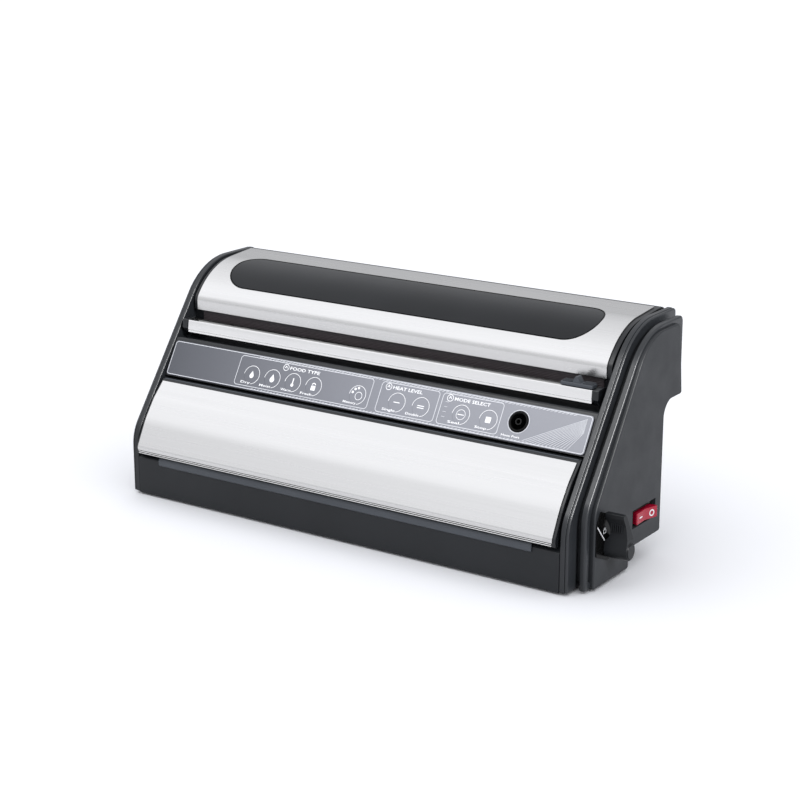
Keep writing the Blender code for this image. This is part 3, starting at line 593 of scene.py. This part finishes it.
def rim_mesh(side):
    """An end rim: a flat face with soft edges, a fine groove, and a rounded bead along its outer side."""
    rings = [(end, RIM_IN_X + side_in) for side_in, end in quarter(RIM_BEVEL)]
    groove = ((0.0, 2.6), (0.08, 2.35), (0.3, 2.15), (0.8, 2.05), (0.8, 1.85), (0.4, 1.7), (0.25, 1.45))
    rings += [(inset, RIM_OUT_X - back) for inset, back in groove]
    rings += [(0.25 + side_in, RIM_OUT_X - end) for side_in, end in quarter(RIM_BEAD)]
    outline = anticlockwise(housing_outline(0, 0, 0, 0))
    shape = bmesh.new()
    loops = [[(u, v, side * x) for u, v in offset(outline, inset, True)] for inset, x in rings]
    add_rings(shape, loops, SIDE)
    return mesh_of(shape)


def left_side():
    show("left_rim_band", rim_mesh(-1), "black_plastic", "housing", ["left_end_rim"], smooth=35)
    inset = LEFT_COVER_INSET
    cover = plate(housing_outline(inset, inset, inset, inset, inset), LEFT_COVER_X, -RIM_OUT_X + 0.3, 1.0)
    show("left_cover_shell", cover, "black_plastic", "housing", ["left_side_panel"], smooth=35)


def right_side():
    """The rim, the trim band that stands off it over a groove, and the panel inside the band."""
    show("right_rim_band", rim_mesh(1), "black_plastic", "housing", ["right_end_rim"], smooth=35,
         cuts=[switch_hole()])
    rings = [(4.6, RIM_OUT_X - 0.4), (4.6, TRIM_STEP_X - 0.3), (0.5, TRIM_STEP_X), (0.12, TRIM_STEP_X + 0.15)]
    rings += [(side_in, TRIM_OUT_X - end) for side_in, end in quarter(TRIM_BEAD)]
    rings += [(4.4, TRIM_OUT_X), (4.9, TRIM_OUT_X - 0.15), (5.2, TRIM_OUT_X - 0.6), (5.3, TRIM_OUT_X - 1.6)]
    shape = bmesh.new()
    add_rings(shape, [[(u, v, x) for u, v in trim_outline(inset)] for inset, x in rings], SIDE)
    show("right_trim_band", mesh_of(shape), "black_plastic", "housing", ["right_side_trim"], smooth=35,
         cuts=[switch_hole()])
    panel = plate(panel_outline(), TRIM_OUT_X - 2.2, PANEL_OUT_X, 1.1, steps=4)
    show("right_panel_shell", panel, "black_plastic", "housing", ["right_side_panel"], smooth=35,
         cuts=[switch_hole()], material=PANEL_PLASTIC)


def base_pieces():
    rise = math.tan(DECK_TILT)
    path = rounded(
        [
            (FRONT_Y, BASE_Z),
            (FRONT_Y, 29.4, 1.4),
            (DECK_Y + 0.6, DECK_Z + 0.6 * rise, 0.0),
            (45.0, DECK_Z + 44.0 * rise, 2.6),
            (40.3, 83.0),
        ],
        closed=False,
    )
    well = plate(box_outline(*WELL, 2.0), -8, 8, 0, DECK)
    slots = [plate(box_outline(s * 169 - 5, 12.0, s * 169 + 5, 39.0, 1.0), -8, 8, 0, DECK) for s in (-1, 1)]
    show("base_tray_shell", plate(strip(path, -WALL), -BAY_X, BAY_X, 0.3, steps=2), "dark_plastic", "housing",
         ["base_tray"], cuts=[well, *slots])
    lip = rounded([(-1.02, 26.0), (-2.3, 26.9, 0.6), (-2.3, 30.4, 0.9), (-1.3, 32.4, 0.3), (-1.02, 32.4)])
    # The ledge takes the lighter plastic: painted light for its face, which tilts up towards the light.
    show("front_ledge_strip", plate(lip, -163, 163, 0.3), "dark_plastic", "housing", ["front_ledge"],
         material=PAINTED_LIGHT_PLASTIC)


def panel_holes(port_radius):
    """Cutters for the nine keys and the hose port, through the key panel."""
    sizes = [(x, KEY_T, KEY_HOLE_R) for x in KEYS.values()] + [(PORT_X, PORT_T, port_radius)]
    return [turned(disc_profile(radius, -8, 4, 0.1), on(PANEL, x, t)) for x, t, radius in sizes]


def bezel_piece():
    up = Vector((math.cos(PANEL_TILT), math.sin(PANEL_TILT)))
    out = Vector((-up.y, up.x))
    foot = Vector((PANEL_Y, PANEL_Z)) - out * BEZEL_DEPTH - up * 0.2
    head = foot + up * 32.5
    path = rounded(
        [(40.5, 84.9), (*foot, 0.0), (*head, 2.6), (54.0, 111.5, 3.0), (70.8, 115.2, 3.0), (70.8, 131.4)],
        closed=False,
    )
    show("bezel_shell", plate(strip(path, -WALL), -BAY_X, BAY_X, 0.2, steps=1), "black_plastic", "housing",
         ["main_bezel"], cuts=panel_holes(PORT_R - 1.0))


def film_guide():
    """Ribbed guide strip on the wall that the film slides down, between the roll lid and the cutter rail."""
    shape = bmesh.new()
    add_box(shape, (-RAIL_X + 0.5, 70.0, 122.5), (RAIL_X - 0.5, 70.9, 131.2), edge=0.25)
    for i in range(6):
        ridge = box_outline(69.6, 124.0 + 1.1 * i, 70.3, 124.5 + 1.1 * i, 0.2, 45)
        add_plate(shape, ridge, -RAIL_X + 1.0, RAIL_X - 1.0, 0.1, steps=1)
    show("film_guide", mesh_of(shape), "black_plastic", "housing", material=GUIDE_PLASTIC)


def refined(node, bevel, material=None):
    """A CAD node's own shape with its flat faces joined and its edges rounded."""
    mesh = NODES[node].data.copy()
    shape = bmesh.new()
    shape.from_mesh(mesh)
    bmesh.ops.remove_doubles(shape, verts=shape.verts, dist=1e-6)
    bmesh.ops.dissolve_limit(shape, angle_limit=math.radians(0.4), verts=shape.verts, edges=shape.edges)
    shape.to_mesh(mesh)
    shape.free()
    show(f"{node}_finished", mesh, slot_of(node), body_of(node), [node], bevel=bevel, material=material)


def slot_of(node):
    for entry in frame["record"]["subparts"]:
        if entry["node"] == node:
            return entry["material_slot"]
    raise KeyError(node)


def body_of(node):
    for body, members in frame["record"]["behaviour"]["bodies"].items():
        if node in members:
            return body
    raise KeyError(node)


# ---------------------------------------------------------------- key panel


def overlay_piece():
    outline = box_outline(-OVERLAY_X, 0.3, OVERLAY_X, OVERLAY_LENGTH, 2.5)
    show("overlay_film", plate(outline, -0.8, 0.0, 0.15, PANEL, 1), "panel_film", "housing",
         ["control_overlay"], cuts=panel_holes(PORT_R + 0.3))


CAPITAL_HEIGHT = 0.73
KEY_LABELS = {
    "dry": "Dry", "moist": "Moist", "warm": "Warm", "fresh": "Fresh", "memory": "Memory",
    "single_heat": "Single", "double_heat": "Double", "seal_only": "Seal", "stop": "Stop",
}
HEADINGS = ((-74.0, "FOOD TYPE", 27.0), (18.0, "HEAT LEVEL", 25.0), (70.0, "MODE SELECT", 29.0))


def label(shape, text, u, v, length, height, place):
    """A printed word fitted between u and u + length, with capitals of the given height."""
    curve = bpy.data.curves.new("label", "FONT")
    curve.body = text
    curve.resolution_u = 2
    curve.extrude = 0.03
    curve.offset = 0.012
    guide = bpy.data.objects.new("label", curve)
    bpy.context.scene.collection.objects.link(guide)
    bpy.context.view_layer.update()
    graph = bpy.context.evaluated_depsgraph_get()
    mesh = bpy.data.meshes.new_from_object(guide.evaluated_get(graph))
    bpy.data.objects.remove(guide, do_unlink=True)
    low = min(vertex.co.x for vertex in mesh.vertices)
    width = max(vertex.co.x for vertex in mesh.vertices) - low
    fit = Matrix.Diagonal((length / width, height / CAPITAL_HEIGHT, 1.0, 1.0))
    mesh.transform(WORLD @ place @ Matrix.Translation((u, v, 0.05)) @ fit @ Matrix.Translation((-low, 0, 0)))
    shape.from_mesh(mesh)
    bpy.data.meshes.remove(mesh)


def panel_prints():
    """Frames, edge hatching, key rings, labels and the corner fan, all printed on the film."""
    silver = bmesh.new()
    white = bmesh.new()

    def line(points, width=0.42, closed=False, shape=silver):
        add_line(shape, points, width, INK_LOW, INK_HIGH, PANEL, closed)

    line(box_outline(-OVERLAY_X + 0.9, 1.1, OVERLAY_X - 0.9, OVERLAY_LENGTH - 0.8, 2.0), 0.42, True)
    for u0, v0, u1, v1 in ((-116.6, 3.0, 4.5, 25.6), (12.0, 3.0, 61.0, 25.4), (64.0, 3.0, 113.4, 25.4)):
        line(box_outline(u0, v0, u1, v1, 2.4), 0.42, True)
    for u in range(-100, 170, 3):
        for v in (1.5, 26.3):
            line([(u, v - 0.3), (u + 2.2, v + 0.45)], 0.3)
    for name, x in KEYS.items():
        line(arc((x, KEY_T), KEY_HOLE_R + 0.25, -80, 180, 40), 0.36, shape=white)
        length = 6.4 + 0.8 * len(KEY_LABELS[name])
        label(white, KEY_LABELS[name], x + 0.6 - length, 4.9, length, 1.8, PANEL)
    for x, text, length in HEADINGS:
        line(circle((x, 22.4), 2.4, 28), 0.42, True, white)
        line([(x - 1.0, 21.8), (x, 23.5), (x + 1.0, 21.8)], 0.5, shape=white)
        label(white, text, x + 3.8, 21.2, length, 2.5, PANEL)
    line(circle((PORT_X, PORT_T), PORT_R + 0.75, 40), 0.35, True)
    label(white, "Hose Port", PORT_X - 10.5, 3.2, 14.5, 1.6, PANEL)
    for i in range(4):
        label(silver, "-", 67.0, 8.0 + 3.6 * i, 2.6, 1.5, PANEL)
    for i in range(14):
        line([(134.0 + 2.7 * i, 2.2), (178.0, 25.2 - 0.75 * i)], 0.26)
    show("panel_prints", mesh_of(silver), "panel_film", "housing", material=SILVER_PRINT, smooth=20)
    show("panel_words", mesh_of(white), "panel_film", "housing", material=WHITE_PRINT, smooth=20)


def drop_outline(scale):
    """A drop: round below, drawn to a point above."""
    return arc((0, -0.6 * scale), 1.5 * scale, 150, 390, 16) + [(0, 2.6 * scale)]


def key_pieces():
    for name, x in KEYS.items():
        seat = on(PANEL, x, KEY_T)
        body = f"key_{name}_body"
        cap = [(0.02, -2.2), (CAP_R, -2.2), (CAP_R, -0.08), (CAP_R - 0.05, 0.0), (0.02, 0.0)]
        show(f"key_{name}_cap", turned(cap, seat), "panel_film", body, [f"key_{name}"], smooth=30)
        shape = bmesh.new()
        key_icon(shape, name, seat)
        show(f"key_{name}_icon", mesh_of(shape), "panel_film", body, material=WHITE_PRINT, smooth=20)


def key_icon(shape, name, seat):
    """The picture printed on one key."""
    def fill(outline):
        add_rings(shape, [[(u, v, w) for u, v in anticlockwise(outline)] for w in (INK_LOW, INK_HIGH)], seat)

    def line(points, width=0.5, closed=False):
        add_line(shape, points, width, INK_LOW, INK_HIGH, seat, closed)

    if name in ("dry", "moist"):
        fill(drop_outline(1.35 if name == "moist" else 1.2))
    elif name == "warm":
        fill(circle((0, -1.9), 1.3, 20))
        line([(0, -1.0), (0, 3.4)], 0.9)
    elif name == "fresh":
        fill(box_outline(-1.9, -3.0, 1.9, 0.6, 0.5))
        line(arc((0, 1.0), 1.5, 10, 170, 12), 0.7)
    elif name == "memory":
        for u, v in ((-4.6, 1.6), (-3.0, 4.1), (-0.4, 5.2)):
            fill(circle((u, v), 0.95, 16))
        line(circle((1.2, -0.6), 2.9, 28), 0.36, True)
    elif name == "single_heat":
        line([(-2.6, 0.0), (2.6, 0.0)], 0.6)
    elif name == "double_heat":
        line([(-2.8, 0.75), (2.8, 0.75)], 0.6)
        line([(-2.8, -0.75), (2.8, -0.75)], 0.6)
    elif name == "seal_only":
        line([(-2.6, 0.0), (2.6, 0.0)], 0.55)
        line(circle((0, 0), 3.6, 28), 0.3, True)
    else:
        fill(box_outline(-2.1, -2.1, 2.1, 2.1, 0.2))


def port_piece():
    seat = on(PANEL, PORT_X, PORT_T)
    shape = bmesh.new()
    ring = ((1.9, -9.0), (0.9, -9.0), (0.9, -0.8), (0.0, -0.8), (0.0, 0.3), (0.3, 0.62), (0.8, 0.7),
            (1.3, 0.62), (1.6, 0.3), (1.9, -0.4))
    add_ring(shape, [(PORT_R - inwards, w) for inwards, w in ring], seat)
    add_ring(shape, [(1.3, -9.0), (2.7, -9.0), (2.6, 0.2), (2.35, 0.5), (1.6, 0.5), (1.3, 0.2)], seat)
    add_turned(shape, [(0.02, -9.6), (PORT_R - 1.2, -9.6), (PORT_R - 1.2, -8.6), (0.02, -8.6)], seat)
    show("port_socket", mesh_of(shape), "gloss_black", "housing", ["accessory_port"], smooth=45)


def add_ring(shape, profile, place, steps=48):
    """A ring turned about w from a closed (radius, w) profile."""
    matrix = WORLD @ place
    unit = circle((0, 0), 1.0, steps)
    loops = [[shape.verts.new(matrix @ Vector((r * c, r * s, w))) for c, s in unit] for r, w in profile]
    for a, b in zip(loops, loops[1:] + loops[:1]):
        for i in range(steps):
            shape.faces.new((a[i], a[(i + 1) % steps], b[(i + 1) % steps], b[i]))


# ---------------------------------------------------------------- chamber lid

LID_TOP = rounded([(25.6, 84.4), (14.6, 73.4, 30.0), (4.2, 59.0, 60.0), (-5.8, 39.6, 4.0), (-5.5, 37.2)],
                  closed=False, fine=1.5, coarse=6.0)


def lid_frame_outline():
    under_skin = offset(LID_TOP, 1.05)
    barrel = arc(LID_PIVOT, 5.4, 118.0, -20.0, 18)
    rear = [(38.4, 73.0), deck_point(42.5, LID_CLEAR)]
    front = [deck_point(1.0, LID_CLEAR), (0.2, 33.4), (-3.0, 33.4), (-3.9, 33.9), (-4.5, 34.8), (-4.6, 36.7)]
    return under_skin[::-1][1:] + barrel + rear + front


def chamber_lid_pieces():
    show("lid_skin", plate(strip(LID_TOP, 1.0), -LID_X, LID_X, 0.3, steps=2), "brushed_steel", "chamber_lid",
         ["chamber_lid_skin"], smooth=30)
    hollow = plate(box_outline(-150, 20.5, 150, 37.0, 3.0), 0.0, 14.0, 0, DECK)
    show("lid_body", plate(lid_frame_outline(), -LID_X - 2.0, LID_X + 2.0, 0.5), "black_plastic",
         "chamber_lid", ["chamber_lid_frame"], cuts=[hollow])
    beads = bmesh.new()
    for y, z in ((-5.15, 36.3), (-4.75, 34.9)):
        add_turned(beads, disc_profile(BEAD_R, -LID_X + 0.6, LID_X - 0.6, 0.2), across(y, z), 12)
    show("lid_beads", mesh_of(beads), "polished_steel", "chamber_lid")
    # Ridges on the barrel, in the lighter plastic as painted highlight lines.
    ridge = arc(LID_PIVOT, 5.35, 112.0, 112.0, 1)[0]
    show("lid_ridges", turned(disc_profile(RIDGE_R, -LID_X, LID_X, 0.3), across(*ridge), 12), "black_plastic",
         "chamber_lid", material=PAINTED_LIGHT_PLASTIC)


# ---------------------------------------------------------------- roll lid

ROLL_TOP = rounded([(134.0, 169.3), (83.7, 165.0, 56.0), (66.7, 141.6, 9.5), (66.7, 132.6)],
                   closed=False, fine=1.5, coarse=5.0)
WINDOW_U0, WINDOW_U1 = -162.7, 158.9
WINDOW_V0, WINDOW_V1 = 16.8, 58.0
WINDOW_FRONT_R, WINDOW_REAR_R = 22.0, 17.0


def roll_frame():
    chord = Vector((134.0 - 66.7, 169.3 - 132.6))
    return slope_frame(66.7, 132.6, math.atan2(chord.y, chord.x))


def window_shape(inset):
    """The window's long shape, moved inwards by inset, as a solid square to the lid's chord."""
    front, rear = WINDOW_FRONT_R - inset, WINDOW_REAR_R - inset
    low, high = WINDOW_V0 + inset, WINDOW_V1 - inset
    left, right = WINDOW_U0 + inset, WINDOW_U1 - inset
    outline = rounded([(left, low, front), (right, low, front), (right, high, rear), (left, high, rear)])
    return plate(outline, -20, 60, 0, roll_frame())


def roll_lid_pieces():
    skin = plate(strip(ROLL_TOP, 1.0), -ROLL_LID_X, ROLL_LID_X, 0.3, steps=2)
    show("roll_skin", skin, "brushed_steel", "roll_lid", ["roll_lid_skin"], smooth=30,
         cuts=[window_shape(0.0)])
    ends = (WINDOW_U0 - 4, WINDOW_U1 + 4)
    show("window_gasket", plate(strip(offset(ROLL_TOP, 0.5), 1.2), *ends, 0), "gloss_black", "roll_lid",
         keeps=[window_shape(0.05)], cuts=[window_shape(1.1)], smooth=30)
    show("window_pane", plate(strip(offset(ROLL_TOP, 0.15), 1.2), *ends, 0), "smoked_window", "roll_lid",
         ["roll_lid_window"], keeps=[window_shape(1.15)], smooth=30)
    inner = offset(ROLL_TOP, 1.05)
    barrel = arc(ROLL_PIVOT, 7.0, 82.0, -85.0, 20)
    outline = inner[::-1] + barrel + [(134.2, 158.6)] + offset(ROLL_TOP, 3.4)[1:]
    show("roll_body", plate(outline, -ROLL_LID_X - 3.6, ROLL_LID_X + 3.6, 0.5), "black_plastic", "roll_lid",
         ["roll_lid_frame"], cuts=[window_shape(4.0)])


# ---------------------------------------------------------------- cutter


def cutter_pieces():
    rail = rounded([(52.6, 127.2, 0.6), (51.6, 120.0, 0.2), (52.1, 119.6, 0.1), (51.9, 119.1, 0.1),
                    (51.8, 118.0, 0.5), (53.4, 116.8, 0.3), (56.2, 116.2, 0.4), (58.6, 116.2, 0.5),
                    (60.6, 119.5, 0.5), (60.6, 126.6, 0.4), (60.0, 127.5, 0.3), (57.2, 127.4), (57.2, 120.5),
                    (56.4, 120.5), (56.4, 127.4)])
    show("rail_bar", plate(rail, -RAIL_X, RAIL_X, 0.15, steps=1), "polished_steel", "cutter_bar",
         ["cutter_rail"], smooth=25)
    for word in ("left", "right"):
        refined(f"cutter_{word}_arm", 0.5)
    shape = bmesh.new()
    add_plate(shape, box_outline(52.9, 127.6, 60.2, 130.2, 0.7, 20), 151.2, 175.8, 0.4)
    for i in range(6):
        for start in (152.4, 168.0):
            add_box(shape, (start + i * 1.25, 53.2, 130.0), (start + i * 1.25 + 0.6, 59.9, 130.9), edge=0.2)
    fin = rounded([(159.6, 129.8), (166.4, 129.8), (163.9, 134.4, 0.8), (162.1, 134.4, 0.8)])
    add_plate(shape, fin, -59.4, -53.6, 0.35, FRONTAL)
    # The slider is in the lighter plastic: a painted highlight for the light on its ribs.
    show("slider_body", mesh_of(shape), "black_plastic", "cutter_carriage", ["cutter_slider"],
         material=PAINTED_LIGHT_PLASTIC)


# ---------------------------------------------------------------- lever and switch


def lever_pieces():
    refined("lock_lever", 0.7, KNOB_PLASTIC)
    refined("lock_lever_cap", 0.15, KNOB_PLASTIC)
    ribs = bmesh.new()
    for i in range(6):
        x = 206.0 + 1.55 * i
        add_box(ribs, (x, 27.9, 41.0), (x + 0.7, 29.6, 46.6), edge=0.2)
    add_ring(ribs, [(5.3, 218.2), (6.2, 218.2), (6.2, 218.5), (5.95, 218.75), (5.55, 218.75), (5.3, 218.5)],
             across(*LEVER_PIVOT))
    show("lever_ribs", mesh_of(ribs), "black_plastic", "lock", smooth=40, material=KNOB_PLASTIC)
    marks = bmesh.new()
    low = PANEL_OUT_X + 0.92
    high = low + 0.05
    add_line(marks, [(17.8, 45.5), (28.4, 33.4)], 0.9, low, high, SIDE)
    add_line(marks, box_outline(26.4, 38.8, 29.6, 41.2, 0.3, 30), 0.6, low, high, SIDE, True)
    add_line(marks, arc((28.0, 41.2), 1.1, 0, 180, 8), 0.45, low, high, SIDE)
    show("lever_marks", mesh_of(marks), "gloss_black", "housing", material=WHITE_PRINT, smooth=20)


def rocker_pieces():
    turned_on = (Matrix.Translation(Vector((ROCKER_X, ROCKER_Y, ROCKER_Z)))
                 @ Matrix.Rotation(-ROCKER_TILT, 4, "Z"))
    seat = turned_on @ Matrix(((0, 1, 0, 0), (1, 0, 0, 0), (0, 0, -1, 0), (0, 0, 0, 1)))
    half = [(0.0, 3.0), (12.6, 5.1, 0.8), (11.8, -1.0), (5.0, -4.6)]
    left = [(-c[0], *c[1:]) for c in half[:0:-1]]
    show("rocker_key", plate(rounded(half + left), -4.1, 4.1, 0.4, seat), "red_plastic", "rocker",
         ["power_rocker"])
    shape = bmesh.new()
    tilt = math.atan2(2.1, 12.6)
    for side in (-1, 1):
        face = (turned_on @ Matrix.Translation(Vector((4.1, side * 6.6, 0)))
                @ Matrix.Rotation(-side * tilt, 4, "Z") @ SIDE)
        if side > 0:
            add_line(shape, circle((0, 0), 2.0, 28), 0.9, 0.0, 0.12, face, True)
        else:
            add_line(shape, [(-2.2, 0), (2.2, 0)], 0.95, 0.0, 0.12, face)
    show("rocker_marks", mesh_of(shape), "red_plastic", "rocker", material=WHITE_PRINT, smooth=20)


# ---------------------------------------------------------------- stage

# Brightness of the surround by the sine of its height above the horizon.
SKY_BY_HEIGHT = ((0.02, 0.88), (0.38, 1.05), (0.54, 1.52), (0.72, 1.60), (0.86, 1.50), (0.98, 1.45))
SKY_TINT = (0.975, 0.99, 1.03)


def stage_floor():
    mesh = bpy.data.meshes.new("floor")
    shape = bmesh.new()
    bmesh.ops.create_grid(shape, x_segments=1, y_segments=1, size=FLOOR_HALF)
    shape.to_mesh(mesh)
    shape.free()
    floor = bpy.data.objects.new("floor", mesh)
    bpy.context.scene.collection.objects.link(floor)
    floor.location.z = -FLOOR_DROP
    material, _, shader = new_material("floor")
    shader.inputs["Base Color"].default_value = (0.93, 0.93, 0.94, 1)
    shader.inputs["Roughness"].default_value = 0.7
    mesh.materials.append(material)


def area_light(name, place, target, size, power, lit):
    """A soft box that lights only the pieces in lit."""
    light = bpy.data.lights.new(name, "AREA")
    light.shape = "RECTANGLE"
    light.size, light.size_y = size
    light.energy = power
    lamp = bpy.data.objects.new(name, light)
    bpy.context.scene.collection.objects.link(lamp)
    lamp.location = place
    lamp.rotation_euler = (Vector(target) - Vector(place)).to_track_quat("-Z", "Y").to_euler()
    receivers = bpy.data.collections.new(f"{name}_lit")
    for obj in lit:
        receivers.objects.link(obj)
    lamp.light_linking.receiver_collection = receivers


def studio():
    """A soft surround, dimmer near the horizon and towards the rear, and two lamps for the black pieces."""
    scene = bpy.context.scene
    scene.view_settings.view_transform = "Standard"
    world = bpy.data.worlds.new("studio")
    scene.world = world
    world.use_nodes = True
    tree = world.node_tree
    where = tree.nodes.new("ShaderNodeTexCoord")
    split = tree.nodes.new("ShaderNodeSeparateXYZ")
    tree.links.new(where.outputs["Generated"], split.inputs["Vector"])
    height = tree.nodes.new("ShaderNodeValToRGB")
    height.color_ramp.interpolation = "EASE"
    for position, shade in SKY_BY_HEIGHT:
        stop = height.color_ramp.elements.new(position)
        stop.color = (*grey(shade, SKY_TINT), 1)
    for spare in (0, len(height.color_ramp.elements) - 1):
        height.color_ramp.elements[spare].color = (*grey(SKY_BY_HEIGHT[-1 if spare else 0][1], SKY_TINT), 1)
    tree.links.new(split.outputs["Z"], height.inputs["Fac"])
    depth = tree.nodes.new("ShaderNodeMapRange")
    depth.inputs["From Min"].default_value = -0.3
    depth.inputs["From Max"].default_value = 0.7
    depth.inputs["To Min"].default_value = 1.0
    depth.inputs["To Max"].default_value = 0.62
    tree.links.new(split.outputs["Y"], depth.inputs["Value"])
    mix = tree.nodes.new("ShaderNodeMix")
    mix.data_type = "RGBA"
    mix.blend_type = "MULTIPLY"
    mix.inputs["Factor"].default_value = 1.0
    tree.links.new(height.outputs["Color"], mix.inputs["A"])
    tree.links.new(depth.outputs["Result"], mix.inputs["B"])
    background = tree.nodes["Background"]
    tree.links.new(mix.outputs["Result"], background.inputs["Color"])
    background.inputs["Strength"].default_value = 1.0
    dull = [obj for obj, slot in PIECES if slot not in ("brushed_steel", "polished_steel")]
    black = [obj for obj in dull if obj.name in EDGE_LIT]
    area_light("key_light", (-0.35, -1.0, 1.25), (0.1, 0, 0.08), (0.9, 0.6), 9, dull)
    area_light("edge_light", (1.6, -0.6, 1.0), (0.1, 0, 0.08), (0.35, 0.7), 75, black)


def camera():
    lens = bpy.data.cameras.new("camera")
    lens.sensor_width = 36.0
    lens.lens = CAMERA_LENS
    lens.clip_end = 50
    view = bpy.data.objects.new("camera", lens)
    bpy.context.scene.collection.objects.link(view)
    view.location = WORLD @ Vector(CAMERA_AT)
    view.rotation_euler = (math.pi / 2 - CAMERA_DOWN, 0, CAMERA_TURN)
    bpy.context.scene.camera = view


# CAD nodes whose own shape is kept, each with the rounding of its edges.
FINISHED_NODES = {
    "bottom_cover": 0.5, "rear_cover": 0.5, "rear_shelf": 0.5, "roll_cradle": 0.4, "switch_housing": 0.4,
    "power_inlet": 0.3, "drip_tray": 0.3, "lever_plate": 0.15, "front_foot_1": 0.3, "front_foot_2": 0.3,
    "rear_foot_1": 0.8, "rear_foot_2": 0.8,
}


def dress_cad():
    """Gives every CAD node the material of its slot."""
    for node, obj in NODES.items():
        material = MATERIALS[slot_of(node)]
        if not obj.material_slots:
            obj.data.materials.append(material)
        for holder in obj.material_slots:
            holder.material = material


def main():
    camera()
    stage_floor()
    dress_cad()
    left_side()
    right_side()
    base_pieces()
    bezel_piece()
    film_guide()
    for node, bevel in FINISHED_NODES.items():
        refined(node, bevel)
    overlay_piece()
    panel_prints()
    key_pieces()
    port_piece()
    chamber_lid_pieces()
    roll_lid_pieces()
    cutter_pieces()
    lever_pieces()
    rocker_pieces()
    studio()


main()
